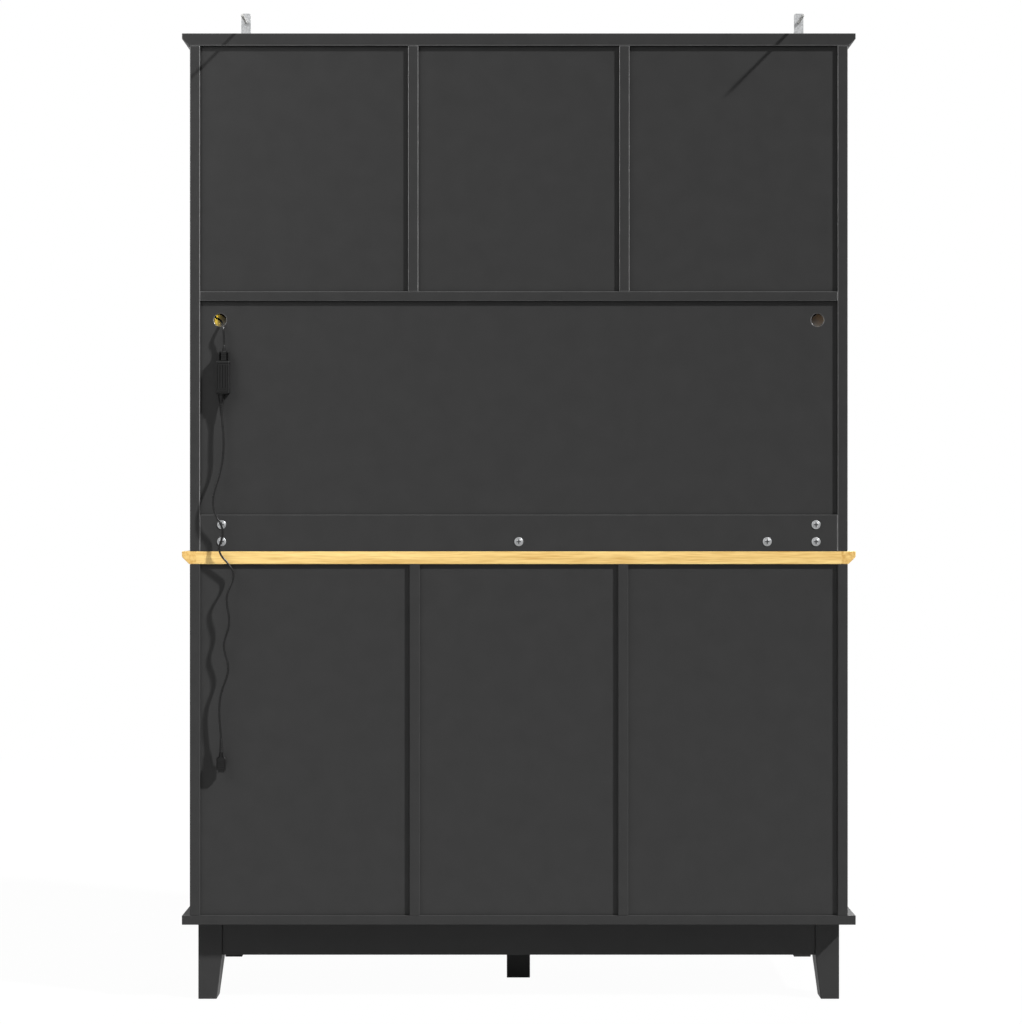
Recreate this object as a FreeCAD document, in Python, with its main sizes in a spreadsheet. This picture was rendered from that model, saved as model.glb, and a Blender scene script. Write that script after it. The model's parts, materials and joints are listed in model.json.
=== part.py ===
import FreeCAD, Part
import math
import os
import re
import Sketcher
from FreeCAD import Placement, Rotation, Vector

# Bar armoire: a hutch of three glazed bays over a lit niche, a wood countertop and a base of three closed bays.
# The front faces -Y, the floor is z = 0 and the origin is under the centre foot. Left and right are as seen from
# the front. All sizes are in millimetres.

SIZES = {
    # Boards and heights
    "board_width": 1270,
    "board_depth": 400,
    "overhang": 15,
    "panel": 19,
    "deck_thickness": 18,
    "base_thickness": 17.5,
    "counter_thickness": 24,
    "crown_thickness": 23.2,
    "foot_height": 147,
    "lower_height": 662.3,
    "niche_height": 472,
    "upper_height": 463,
    "rail_height": 69.2,
    "lower_partition_centre": 196.5,
    "upper_partition_centre": 199,
    # Edges of the crown and the countertop
    "crown_chamfer": 13,
    "counter_chamfer": 13.5,
    "counter_shoulder": 6,
    # Back panels and their grooves
    "back_thickness": 5,
    "back_recess": 4,
    "groove_depth": 6,
    "groove_clearance": 0.2,
    # Feet and aprons
    "foot_inset": 26.3,
    "foot_width": 45,
    "foot_toe": 35,
    "centre_foot_width": 46,
    "apron_height": 64,
    "apron_thickness": 18,
    "apron_recess": 3,
    # Shelves and their pins
    "shelf_thickness": 16,
    "shelf_clearance": 1,
    "upper_shelf_level": 215,
    "lower_shelf_level": 320,
    "shelf_pin_radius": 2.5,
    "shelf_pin_seat": 7,
    "shelf_pin_reach": 8,
    "shelf_pin_inset": 40,
    "pin_clearance": 0.05,
    # Doors
    "door_thickness": 18,
    "door_gap": 3,
    "upper_stile": 50,
    "glass_thickness": 4,
    "glass_lap": 8,
    "glass_rabbet": 6,
    "glass_clearance": 0.3,
    "lower_stile": 60,
    "lower_recess": 5,
    # Butt hinges
    "hinge_length": 60,
    "hinge_inset": 65,
    "leaf_width": 14,
    "leaf_thickness": 1.2,
    "barrel_radius": 3,
    "barrel_standoff": 0.3,
    "knuckle_gap": 0.3,
    "hinge_pin_radius": 1.25,
    "hinge_pin_head_radius": 2.2,
    "hinge_pin_head": 1,
    # Knobs and door catches
    "knob_radius": 13,
    "knob_head": 12,
    "knob_round": 4,
    "knob_reach": 26,
    "knob_neck_radius": 5,
    "knob_collar_radius": 8,
    "knob_collar": 3,
    "knob_stud_radius": 2,
    "knob_stud": 12,
    "knob_inset": 25,
    "knob_level": 90,
    "catch_width": 24,
    "catch_depth": 12,
    "catch_height": 10,
    "catch_gap": 0.3,
    # Cam locks of the hutch rail
    "cam_radius": 7.5,
    "cam_depth": 13,
    "cam_flange_radius": 8.25,
    "cam_flange": 0.8,
    "cam_clearance": 0.1,
    "cam_end_distance": 41,
    "cam_low": 18.2,
    "cam_pitch": 32,
    "cam_offset_distance": 133,
    "cam_cross_length": 9,
    "cam_cross_width": 2.2,
    "cam_cross_depth": 2.4,
    "cam_bolt_radius": 3,
    "cam_bolt_seat": 11,
    # Anti-tip brackets, screws and wall plugs
    "bracket_left_inset": 107.5,
    "bracket_right_inset": 121,
    "bracket_width": 17.5,
    "bracket_rise": 37,
    "bracket_foot": 30,
    "bracket_thickness": 2,
    "bracket_round": 3.5,
    "bracket_hole_level": 20.6,
    "screw_radius": 2,
    "screw_clearance": 0.1,
    "screw_head_radius": 4,
    "screw_head": 2.4,
    "bracket_screw_depth": 15,
    "wall_screw_reach": 34,
    "wall_plug_radius": 3,
    "wall_plug_start": 1,
    "wall_plug_length": 42,
    "wall_plug_tip": 5,
    "wall_plug_tip_radius": 2.2,
    # Niche light
    "cable_hole_radius": 12,
    "cable_hole_inset": 37.5,
    "cable_hole_drop": 35.8,
    "channel_width": 16,
    "channel_height": 10,
    "channel_wall": 1.5,
    "channel_left_gap": 101,
    "channel_right_gap": 31,
    "channel_setback": 166,
    "diffuser_thickness": 2,
    "diffuser_clearance": 0.1,
    "strip_width": 8,
    "strip_thickness": 1.5,
    "cord_diameter": 3.8,
    # Connector and driver, hung below the right cable hole
    "connector_drop": 60,
    "connector_shift": 9,
    "connector_width": 18.5,
    "connector_depth": 13,
    "connector_height": 18,
    "connector_round": 4,
    "driver_width": 25,
    "driver_depth": 15,
    "driver_height": 60,
    "driver_taper": 11,
    "driver_neck": 12,
    "driver_neck_shift": 5.5,
    "driver_collar": 4.5,
    "driver_shift": 1.8,
    "driver_slot": 1.4,
    "driver_slot_depth": 1,
    "driver_slot_pitch": 5,
    "strain_radius": 4,
    "strain_length": 6,
    # Power plug at the end of the cord
    "plug_neck_width": 8,
    "plug_neck": 8,
    "plug_shoulder": 7,
    "plug_width": 18,
    "plug_depth": 8,
    "plug_body": 15,
    "plug_shell_width": 12,
    "plug_shell_depth": 4.5,
    "plug_shell": 8,
}

# Places worked out from the sizes
PLACES = {
    "half": "board_width / 2",
    "rear": "board_depth / 2",
    "front": "overhang - rear",
    "outer": "half - overhang",
    "inner": "outer - panel",
    "lower_partition_near": "lower_partition_centre - panel / 2",
    "lower_partition_far": "lower_partition_centre + panel / 2",
    "upper_partition_near": "upper_partition_centre - panel / 2",
    "upper_partition_far": "upper_partition_centre + panel / 2",
    "foot_outer": "half - foot_inset",
    "foot_inner": "foot_outer - foot_width",
    "foot_rear": "rear - foot_inset",
    "apron_bottom": "foot_height - apron_height",
    "base_top": "foot_height + base_thickness",
    "lower_top": "base_top + lower_height",
    "counter_top": "lower_top + counter_thickness",
    "rail_top": "counter_top + rail_height",
    "rail_front": "rear - panel",
    "deck_bottom": "counter_top + niche_height",
    "deck_top": "deck_bottom + deck_thickness",
    "crown_bottom": "deck_top + upper_height",
    "crown_top": "crown_bottom + crown_thickness",
    "back_face": "rear - back_recess",
    "back_front": "back_face - back_thickness",
    "panel_lap": "groove_depth - groove_clearance",
    "groove_front": "back_front - groove_clearance",
    "groove_rear": "back_face + groove_clearance",
    "door_rear": "front + door_thickness",
    "shelf_front": "door_rear + shelf_clearance",
    "shelf_rear": "back_front - shelf_clearance",
    "barrel_depth": "front - barrel_standoff - barrel_radius",
    "knuckle": "(hinge_length - 2 * knuckle_gap) / 3",
    "cam_depth_line": "rear - panel / 2",
    "cam_offset": "inner - cam_offset_distance",
    "bracket_left": "half - bracket_left_inset",
    "bracket_right": "half - bracket_right_inset",
    "bracket_hole": "crown_top + bracket_hole_level",
    "cable_hole_offset": "inner - cable_hole_inset",
    "cable_hole_level": "deck_bottom - cable_hole_drop",
    "channel_line": "back_face - channel_setback",
    "channel_left": "channel_left_gap - inner",
    "channel_right": "inner - channel_right_gap",
    "connector_line": "cable_hole_offset - connector_shift",
    "driver_line": "back_face + driver_depth / 2",
    "driver_top": "cable_hole_level - connector_drop - connector_height",
    "driver_bottom": "driver_top - driver_height",
    "driver_tip": "driver_bottom - driver_taper",
    "driver_neck_line": "connector_line + driver_neck_shift",
}

SECTIONS = {"lower": ("base_top", "lower_top"), "upper": ("deck_top", "crown_bottom")}
BAYS = {
    section: {
        "left": ("-inner", f"-{section}_partition_far"),
        "centre": (f"-{section}_partition_near", f"{section}_partition_near"),
        "right": (f"{section}_partition_far", "inner"),
    }
    for section in SECTIONS
}
# Side of the bay that carries the hinges: 1 is the low x side, -1 the high x side
HINGE_SIDE = {"left": 1, "centre": 1, "right": -1}
BRACKETS = {"left": "-bracket_left", "right": "bracket_right"}

# Share of the shorter run that each arc of a cord takes up
ARC_SHARE = 0.45
# Routes of the cords, as offsets from the centre of the right cable hole at the panel's rear face
LEAD_ROUTE = [
    (-0.5, -158, 30.8), (9, -130, 30.5), (22, -95, 27), (24, -60, 18), (14, -29, 8), (-2, -3, 0),
    (-8, 11, -16), (-9, 7.5, -38), (-9, 7.5, -60),
]
CORD_ROUTE = [
    (-3.5, 7.5, -155), (-3.5, 7.5, -175), (-6.5, 9.5, -200), (-8.5, 10.5, -225), (-8, 10, -249),
    (-5, 10, -273), (0.5, 12, -297), (9.5, 15, -325), (11.5, 16.2, -349), (5.5, 17, -370),
    (-4, 16, -384), (-8, 14.5, -399), (-5, 13.5, -415), (1, 12.5, -429), (-3, 11.5, -444),
    (-18, 10, -460), (-27.5, 8.5, -476), (-25.5, 9.5, -491), (-19, 12.5, -506), (-14, 14, -521),
    (-15.5, 13.5, -540), (-19.3, 12.8, -559), (-18.7, 12.5, -578), (-12.5, 12.2, -596), (-8.2, 12.2, -611),
    (-11, 12, -628), (-16.3, 11.6, -645), (-17.7, 11.4, -661), (-12, 11.4, -680), (-4, 11.3, -700),
    (-0.5, 11.2, -721), (-0.3, 11.2, -747), (-2.5, 11, -773), (-4.1, 11, -795), (-4.1, 11, -813.5),
]

TURNS = {"x": Rotation(Vector(0, 1, 0), 90), "y": Rotation(Vector(1, 0, 0), -90), "z": Rotation()}
SMALL = 0.001

doc = FreeCAD.newDocument("bar_armoire")
sheet = doc.addObject("Spreadsheet::Sheet", "sizes")
for row, (alias, number) in enumerate(SIZES.items(), start=1):
    sheet.set(f"A{row}", alias)
    sheet.set(f"B{row}", str(number))
    sheet.setAlias(f"B{row}", alias)
doc.recompute()
nodes = []


def bind(text):
    """Expression on the sheet for a text in which sizes and places are given by name."""
    def spell(word):
        name = word.group(0)
        return f"({bind(PLACES[name])})" if name in PLACES else f"sizes.{name}"
    return re.sub("[a-z_]+", spell, text)


def place(piece, corner):
    """Hold a piece's base point at named distances from the origin."""
    for axis, text in zip("xyz", corner):
        piece.setExpression(f"Placement.Base.{axis}", bind(text))


def box(name, across, along, up):
    """Block between the low and high ends given for x, y and z."""
    block = doc.addObject("Part::Box", name)
    for edge, (low, high) in zip(("Length", "Width", "Height"), (across, along, up)):
        block.setExpression(edge, bind(f"({high}) - ({low})"))
    place(block, (across[0], along[0], up[0]))
    return block


def cylinder(name, radius, length, base, axis="z"):
    """Round bar from the centre of its base, along +X, +Y or +Z."""
    bar = doc.addObject("Part::Cylinder", name)
    bar.setExpression("Radius", bind(radius))
    bar.setExpression("Height", bind(length))
    bar.Placement = Placement(Vector(), TURNS[axis])
    place(bar, base)
    return bar


def join(name, pieces):
    """One solid out of pieces that meet."""
    whole = doc.addObject("Part::MultiFuse", name)
    whole.Shapes = pieces
    whole.Refine = True
    return whole


def cut(base, tools):
    """The base with the tools taken away."""
    rest = doc.addObject("Part::Cut", f"{base.Name}_cut")
    rest.Base = base
    rest.Tool = tools[0] if len(tools) == 1 else join(f"{base.Name}_tools", tools)
    return rest


def node(label, *pieces):
    """Name a sub-part: one solid, or a group of like solids."""
    piece = pieces[0]
    if len(pieces) > 1:
        piece = doc.addObject("Part::Compound", f"{label}_group")
        piece.Links = list(pieces)
    piece.Label = label
    nodes.append(piece)


def centred(middle, width):
    """Low and high ends of a stretch about its middle."""
    return f"{middle} - {width} / 2", f"{middle} + {width} / 2"


def inward(face, near, far, side):
    """Low and high ends of a stretch that starts near a face and ends far from it, towards +X or -X."""
    if side > 0:
        return f"{face} + {near}", f"{face} + {far}"
    return f"{face} - ({far})", f"{face} - ({near})"


def sketch_on(body, role, name, offset):
    """Empty sketch on one of the body's own planes, shifted along that plane's normal."""
    plane = next(feature for feature in body.Origin.OriginFeatures if feature.Role == role)
    sketch = body.newObject("Sketcher::SketchObject", name)
    sketch.AttachmentSupport = (plane, "")
    sketch.MapMode = "FlatFace"
    sketch.setExpression("AttachmentOffset.Base.z", bind(offset))
    return sketch


def outline(sketch, corners):
    """Closed outline of straight lines, whose corners stand at named distances from the sketch's origin."""
    count = len(corners)
    angles = [2 * math.pi * index / count for index in range(count)]
    ring = [Vector(math.cos(angle), math.sin(angle), 0) for angle in angles]
    for index in range(count):
        sketch.addGeometry(Part.LineSegment(ring[index], ring[(index + 1) % count]))
    for index, (across, up) in enumerate(corners):
        sketch.addConstraint(Sketcher.Constraint("Coincident", index, 2, (index + 1) % count, 1))
        for kind, start, text in (("DistanceX", ring[index].x, across), ("DistanceY", ring[index].y, up)):
            number = sketch.addConstraint(Sketcher.Constraint(kind, -1, 1, index, 1, start))
            sketch.setExpression(f"Constraints[{number}]", bind(text))


def pad(name, role, offset, corners, length):
    """Body padded from an outline along the normal of one of its planes."""
    body = doc.addObject("PartDesign::Body", name)
    profile = sketch_on(body, role, f"{name}_outline", offset)
    outline(profile, corners)
    solid = body.newObject("PartDesign::Pad", f"{name}_pad")
    solid.Profile = profile
    solid.setExpression("Length", bind(length))
    doc.recompute()
    return body


def edge_names(shape, wanted):
    """Names of the edges whose middle is wanted."""
    return [f"Edge{number}" for number, edge in enumerate(shape.Edges, 1) if wanted(edge)]


def dress(body, kind, size, text, wanted):
    """Chamfer or fillet of the body's wanted edges."""
    base = body.Tip
    feature = body.newObject(f"PartDesign::{kind}", f"{body.Name}_{kind.lower()}")
    feature.Base = (base, edge_names(base.Shape, wanted))
    feature.setExpression(size, bind(text))
    doc.recompute()


def edged_board(name, bottom, thickness, chamfer):
    """Top board of full width and depth, chamfered below along its ends and its front."""
    corners = [("-half", "-rear"), ("half", "-rear"), ("half", "rear"), ("-half", "rear")]
    board = pad(name, "XY_Plane", bottom, corners, thickness)
    limits = board.Shape.BoundBox

    def below(edge):
        middle = edge.CenterOfMass
        return middle.z < limits.ZMin + SMALL and middle.y < limits.YMax - SMALL

    dress(board, "Chamfer", "Size", chamfer, below)
    return board


def groove(name, across, up):
    """Cut for the edge of a back panel."""
    return box(name, across, ("groove_front", "groove_rear"), up)


def make_stand():
    """Tapered corner feet, centre foot, aprons and the base board."""
    straight = box("foot_block", ("foot_inner", "foot_outer"), ("foot_rear - foot_width", "foot_rear"),
                   ("apron_bottom", "foot_height"))
    taper = doc.addObject("Part::Wedge", "foot_taper")
    for edge, text in {
        "Xmin": "-foot_width", "X2min": "-foot_toe", "Zmin": "-foot_width", "Z2min": "-foot_toe",
        "Xmax": "0", "X2max": "0", "Zmax": "0", "Z2max": "0", "Ymin": "0", "Ymax": "apron_bottom",
    }.items():
        taper.setExpression(edge, bind(text))
    taper.Placement = Placement(Vector(), TURNS["y"])
    place(taper, ("foot_outer", "foot_rear", "apron_bottom"))
    feet = [join("foot_rear_right", [straight, taper])]
    for name, source, normal in (("foot_rear_left", 0, Vector(1, 0, 0)), ("foot_front_right", 0, Vector(0, 1, 0)),
                                 ("foot_front_left", 1, Vector(0, 1, 0))):
        mirrored = doc.addObject("Part::Mirroring", name)
        mirrored.Source = feet[source]
        mirrored.Normal = normal
        feet.append(mirrored)
    node("corner_feet", *feet)

    middle = centred("0", "centre_foot_width")
    node("centre_foot", box("centre_foot_block", middle, middle, ("0", "foot_height")))

    up = ("apron_bottom", "foot_height")
    between = ("-foot_inner", "foot_inner")
    rear = "foot_rear - apron_recess"
    node("long_aprons",
         box("rear_apron", between, (f"{rear} - apron_thickness", rear), up),
         box("front_apron", between, (f"-({rear})", f"-({rear}) + apron_thickness"), up))
    side = "foot_outer - apron_recess"
    along = ("foot_width - foot_rear", "foot_rear - foot_width")
    node("side_aprons",
         box("right_apron", (f"{side} - apron_thickness", side), along, up),
         box("left_apron", (f"-({side})", f"-({side}) + apron_thickness"), along, up))

    board = box("base_board_block", ("-half", "half"), ("-rear", "rear"), ("foot_height", "base_top"))
    slot = groove("base_groove", ("-inner - groove_depth", "inner + groove_depth"),
                  ("base_top - groove_depth", "base_top"))
    node("base_board", cut(board, [slot]))


def shelf_pin_height(section):
    """Height of the shelf pins' axes, just under the shelf."""
    return f"{SECTIONS[section][0]} + {section}_shelf_level - pin_clearance - shelf_pin_radius"


def shelf_pins(section, bay, side, bore=False):
    """Two shelf pins on one wall of a bay, or the bores that hold them."""
    low, high = BAYS[section][bay]
    start, end = inward(low if side > 0 else high, "-shelf_pin_seat", "0" if bore else "shelf_pin_reach", side)
    radius = "shelf_pin_radius + pin_clearance" if bore else "shelf_pin_radius"
    kind = "bore" if bore else "pin"
    spots = {"front": "shelf_front + shelf_pin_inset", "rear": "shelf_rear - shelf_pin_inset"}
    wall = "low" if side > 0 else "high"
    return [
        cylinder(f"{section}_{bay}_{wall}_{spot}_{kind}", radius, f"({end}) - ({start})",
                 (start, depth, shelf_pin_height(section)), "x")
        for spot, depth in spots.items()
    ]


def make_walls():
    """Sides and partitions, grooved for the back panels and bored for the shelf pins."""
    along = ("front", "rear")
    for side, hand in ((-1, "left"), (1, "right")):
        sign = "-" if side < 0 else ""
        for section, bottom, label in (("lower", "base_top", "lower_side"), ("upper", "counter_top", "hutch_side")):
            up = (bottom, SECTIONS[section][1])
            board = box(f"{label}_{hand}_board", inward(f"{sign}inner", "0", "panel", side), along, up)
            tools = [groove(f"{label}_{hand}_groove", inward(f"{sign}inner", "0", "groove_depth", side), up)]
            tools += shelf_pins(section, hand, -side, bore=True)
            if section == "upper":
                tools += [cam_bolt(hand, row, "cam_bolt_radius + pin_clearance", "bore") for row in ("low", "high")]
            node(f"{label}_{hand}", cut(board, tools))
        for section, (bottom, top) in SECTIONS.items():
            label = f"{section}_partition_{hand}"
            place_of = f"{sign}{section}_partition"
            board = box(f"{label}_board", centred(f"{place_of}_centre", "panel"), along, (bottom, top))
            tools = [
                groove(f"{label}_outer_groove",
                       inward(f"{place_of}_far", "-groove_depth", "0", side), (bottom, top)),
                groove(f"{label}_inner_groove",
                       inward(f"{place_of}_near", "0", "groove_depth", side), (bottom, top)),
            ]
            tools += shelf_pins(section, hand, side, bore=True) + shelf_pins(section, "centre", -side, bore=True)
            node(label, cut(board, tools))


def make_shelves_and_backs():
    """Shelves on their pins, and back panels with their edges in the grooves."""
    pins = []
    for section, (bottom, top) in SECTIONS.items():
        shelves = []
        backs = []
        level = f"{bottom} + {section}_shelf_level"
        for bay, (low, high) in BAYS[section].items():
            shelves.append(box(f"{section}_shelf_{bay}", (f"{low} + shelf_clearance", f"{high} - shelf_clearance"),
                               ("shelf_front", "shelf_rear"), (level, f"{level} + shelf_thickness")))
            backs.append(box(f"{section}_back_{bay}", (f"{low} - panel_lap", f"{high} + panel_lap"),
                             ("back_front", "back_face"), (f"{bottom} - panel_lap", f"{top} + panel_lap")))
            pins += shelf_pins(section, bay, 1) + shelf_pins(section, bay, -1)
        node(f"{section}_shelves", *shelves)
        node(f"{section}_back_panels", *backs)
    node("shelf_pins", *pins)

    panel = box("niche_back_sheet", ("-inner - panel_lap", "inner + panel_lap"), ("back_front", "back_face"),
                ("rail_top - panel_lap", "deck_bottom + panel_lap"))
    holes = [cylinder(f"cable_hole_{hand}", "cable_hole_radius", "back_thickness",
                      (f"{sign}cable_hole_offset", "back_front", "cable_hole_level"), "y")
             for hand, sign in (("left", "-"), ("right", ""))]
    node("niche_back_panel", cut(panel, holes))


def cam_spots():
    """Name, x, height and bolt axis of each cam lock of the rail."""
    low = "counter_top + cam_low"
    high = f"{low} + cam_pitch"
    spots = []
    for hand, x in (("left", "cam_end_distance - inner"), ("right", "inner - cam_end_distance")):
        spots += [(f"{hand}_low", x, low, hand), (f"{hand}_high", x, high, hand)]
    return spots + [("centre", "0", low, "down"), ("offset", "-cam_offset", low, "down")]


def cam_bolt(hand, row, radius, kind):
    """Bolt from a side board to a cam at the rail's end, or the bore for it."""
    height = "counter_top + cam_low" if row == "low" else "counter_top + cam_low + cam_pitch"
    start = "inner - cam_end_distance" if hand == "right" else "-inner - cam_bolt_seat"
    return cylinder(f"cam_{kind}_{hand}_{row}", radius, "cam_end_distance + cam_bolt_seat",
                    (start, "cam_depth_line", height), "x")


def counter_bolt(spot, x, radius, kind):
    """Bolt from the countertop up to a cam, or the bore for it."""
    return cylinder(f"cam_{kind}_{spot}", radius, "cam_low + cam_bolt_seat",
                    (x, "cam_depth_line", "counter_top - cam_bolt_seat"))


def make_rail():
    """Rail behind the countertop with its cam locks and their bolts."""
    board = box("hutch_rail_board", ("-inner", "inner"), ("rail_front", "rear"), ("counter_top", "rail_top"))
    tools = [groove("rail_groove", ("-inner", "inner"), ("rail_top - groove_depth", "rail_top"))]
    cams = []
    bolts = []
    loose = "cam_bolt_radius + cam_clearance"
    for spot, x, height, bolt in cam_spots():
        pocket = cylinder(f"cam_pocket_{spot}", "cam_radius + cam_clearance", "cam_depth + cam_clearance",
                          (x, "rear - cam_depth - cam_clearance", height), "y")
        shank = cylinder(f"cam_shank_{spot}", "cam_radius", "cam_depth", (x, "rear - cam_depth", height), "y")
        flange = cylinder(f"cam_flange_{spot}", "cam_flange_radius", "cam_flange", (x, "rear", height), "y")
        face = ("rear + cam_flange - cam_cross_depth", "rear + cam_flange")
        cross = [
            box(f"cam_slot_{spot}", centred(x, "cam_cross_length"), face, centred(height, "cam_cross_width")),
            box(f"cam_bar_{spot}", centred(x, "cam_cross_width"), face, centred(height, "cam_cross_length")),
        ]
        if bolt == "down":
            bolts.append(counter_bolt(spot, x, "cam_bolt_radius", "bolt"))
            room = [counter_bolt(spot, x, loose, "way"), counter_bolt(spot, x, loose, "room")]
        else:
            row = spot.rsplit("_", 1)[1]
            bolts.append(cam_bolt(bolt, row, "cam_bolt_radius", "bolt"))
            room = [cam_bolt(bolt, row, loose, "way"), cam_bolt(bolt, row, loose, "room")]
        tools += [pocket, room[0]]
        cams.append(cut(join(f"cam_{spot}", [shank, flange]), cross + [room[1]]))
    node("hutch_rail", cut(board, tools))
    node("rail_cams", *cams)
    node("cam_bolts", *bolts)


def make_top_boards():
    """Countertop, hutch deck and crown."""
    wide = ("-inner - groove_depth", "inner + groove_depth")
    counter = edged_board("countertop_board", "lower_top", "counter_thickness", "counter_chamfer")
    limits = counter.Shape.BoundBox
    shoulder = limits.ZMin + sheet.counter_chamfer

    def on_shoulder(edge):
        middle = edge.CenterOfMass
        level = abs(middle.z - shoulder) < SMALL and edge.BoundBox.ZLength < SMALL
        return level and middle.y < limits.YMax - SMALL

    dress(counter, "Fillet", "Radius", "counter_shoulder", on_shoulder)
    tools = [groove("counter_groove", wide, ("lower_top", "lower_top + groove_depth"))]
    tools += [counter_bolt(spot, x, "cam_bolt_radius + pin_clearance", "bore")
              for spot, x, _, bolt in cam_spots() if bolt == "down"]
    node("countertop", cut(counter, tools))

    deck = box("hutch_deck_board", ("-inner", "inner"), ("front", "rear"), ("deck_bottom", "deck_top"))
    node("hutch_deck", cut(deck, [
        groove("deck_upper_groove", ("-inner", "inner"), ("deck_top - groove_depth", "deck_top")),
        groove("deck_lower_groove", ("-inner", "inner"), ("deck_bottom", "deck_bottom + groove_depth")),
    ]))

    crown = edged_board("crown_blank", "crown_bottom", "crown_thickness", "crown_chamfer")
    tools = [groove("crown_groove", wide, ("crown_bottom", "crown_bottom + groove_depth"))]
    tools += [bracket_screw(hand, x, "screw_radius + pin_clearance", "pilot") for hand, x in BRACKETS.items()]
    node("crown_board", cut(crown, tools))


def hinge_leaf(name, face, side, near, far, start, knuckles):
    """Leaf of a butt hinge: a plate in the door gap with knuckles in front of it, bored for the pin."""
    plate = inward(face, near, far, side)
    axis = f"{face} + door_gap / 2" if side > 0 else f"{face} - door_gap / 2"
    pieces = [box(f"{name}_plate", plate, ("front", "front + leaf_width"), (start, f"{start} + hinge_length"))]
    for number in knuckles:
        foot = f"{start} + {number} * (knuckle + knuckle_gap)"
        pieces.append(box(f"{name}_tab_{number}", plate, ("barrel_depth", "front"), (foot, f"{foot} + knuckle")))
        pieces.append(cylinder(f"{name}_knuckle_{number}", "barrel_radius", "knuckle", (axis, "barrel_depth", foot)))
    bore = cylinder(f"{name}_bore", "hinge_pin_radius + pin_clearance", "hinge_length", (axis, "barrel_depth", start))
    return cut(join(name, pieces), [bore])


def hinge_pin(name, face, side, start):
    """Headed pin through the knuckles of one hinge."""
    axis = f"{face} + door_gap / 2" if side > 0 else f"{face} - door_gap / 2"
    shank = cylinder(f"{name}_shank", "hinge_pin_radius", "hinge_length", (axis, "barrel_depth", start))
    head = cylinder(f"{name}_head", "hinge_pin_head_radius", "hinge_pin_head",
                    (axis, "barrel_depth", f"{start} + hinge_length"))
    return join(name, [shank, head])


def knob(name, x, height):
    """Turned knob with a stud that goes into the door."""
    body = doc.addObject("PartDesign::Body", f"{name}_turning")
    profile = sketch_on(body, "XY_Plane", f"{name}_outline", "0")
    outline(profile, [
        ("0", "knob_stud"), ("knob_stud_radius", "knob_stud"), ("knob_stud_radius", "0"),
        ("knob_collar_radius", "0"), ("knob_collar_radius", "-knob_collar"), ("knob_neck_radius", "-knob_collar"),
        ("knob_neck_radius", "knob_head - knob_reach"), ("knob_radius", "knob_head - knob_reach"),
        ("knob_radius", "-knob_reach"), ("0", "-knob_reach"),
    ])
    turning = body.newObject("PartDesign::Revolution", f"{name}_revolution")
    turning.Profile = profile
    turning.ReferenceAxis = (profile, ["V_Axis"])
    doc.recompute()

    def on_rim(edge):
        return isinstance(edge.Curve, Part.Circle) and abs(edge.Curve.Radius - sheet.knob_radius) < SMALL

    dress(body, "Fillet", "Radius", "knob_round", on_rim)
    place(body, (x, "front", height))
    return body


def make_doors():
    """Glazed upper doors, panelled lower doors, and the hinges, knobs and catches of both."""
    frame_leaves = []
    pins = []
    catches = []
    for section, (bottom, top) in SECTIONS.items():
        for bay, (low, high) in BAYS[section].items():
            name = f"{section}_door_{bay}"
            side = HINGE_SIDE[bay]
            hinged, free = (low, high) if side > 0 else (high, low)
            x0, x1 = f"{low} + door_gap", f"{high} - door_gap"
            z0, z1 = f"{bottom} + door_gap", f"{top} - door_gap"
            slab = box(f"{name}_slab", (x0, x1), ("front", "door_rear"), (z0, z1))

            def window(label, border, along):
                return box(f"{name}_{label}", (f"{x0} + {border}", f"{x1} - ({border})"), along,
                           (f"{z0} + {border}", f"{z1} - ({border})"))

            knob_x = f"{x1} - knob_inset" if side > 0 else f"{x0} + knob_inset"
            knob_z = f"{z0} + knob_level" if section == "upper" else f"{z1} - knob_level"
            bore = cylinder(f"{name}_knob_bore", "knob_stud_radius + pin_clearance", "knob_stud",
                            (knob_x, "front", knob_z), "y")
            if section == "upper":
                seat = "door_rear - glass_rabbet"
                opening = window("opening", "upper_stile", ("front", "door_rear"))
                rabbet = window("rabbet", "upper_stile - glass_lap", (seat, "door_rear"))
                node(name, cut(slab, [opening, rabbet, bore]))
                node(f"upper_glass_{bay}", window("pane", "upper_stile - glass_lap + glass_clearance",
                                                  (seat, f"{seat} + glass_thickness")))
            else:
                recess = window("recess", "lower_stile", ("front", "front + lower_recess"))
                node(name, cut(slab, [recess, bore]))
            node(f"{section}_knob_{bay}", knob(f"{section}_knob_{bay}", knob_x, knob_z))

            starts = {"bottom": f"{z0} + hinge_inset", "top": f"{z1} - hinge_inset - hinge_length"}
            door_leaves = []
            for end, start in starts.items():
                hinge = f"{section}_hinge_{bay}_{end}"
                frame_leaves.append(hinge_leaf(f"{hinge}_frame_leaf", hinged, side, "0", "leaf_thickness",
                                               start, (0, 2)))
                door_leaves.append(hinge_leaf(f"{hinge}_door_leaf", hinged, side, "door_gap - leaf_thickness",
                                              "door_gap", start, (1,)))
                pins.append(hinge_pin(f"{hinge}_pin", hinged, side, start))
            node(f"{section}_door_leaves_{bay}", *door_leaves)

            catches.append(box(f"{name}_catch", inward(free, "catch_width", "2 * catch_width", -side),
                               ("door_rear + catch_gap", "door_rear + catch_gap + catch_depth"),
                               (f"{top} - catch_height", top)))
    node("frame_hinge_leaves", *frame_leaves)
    node("hinge_pins", *pins)
    node("door_catches", *catches)


def bracket_screw(hand, x, radius, kind):
    """Screw that holds a bracket to the crown, or the pilot hole for it."""
    return cylinder(f"bracket_{kind}_{hand}", radius, "bracket_screw_depth + bracket_thickness",
                    (x, "rear - bracket_foot / 2", "crown_top - bracket_screw_depth"))


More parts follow.
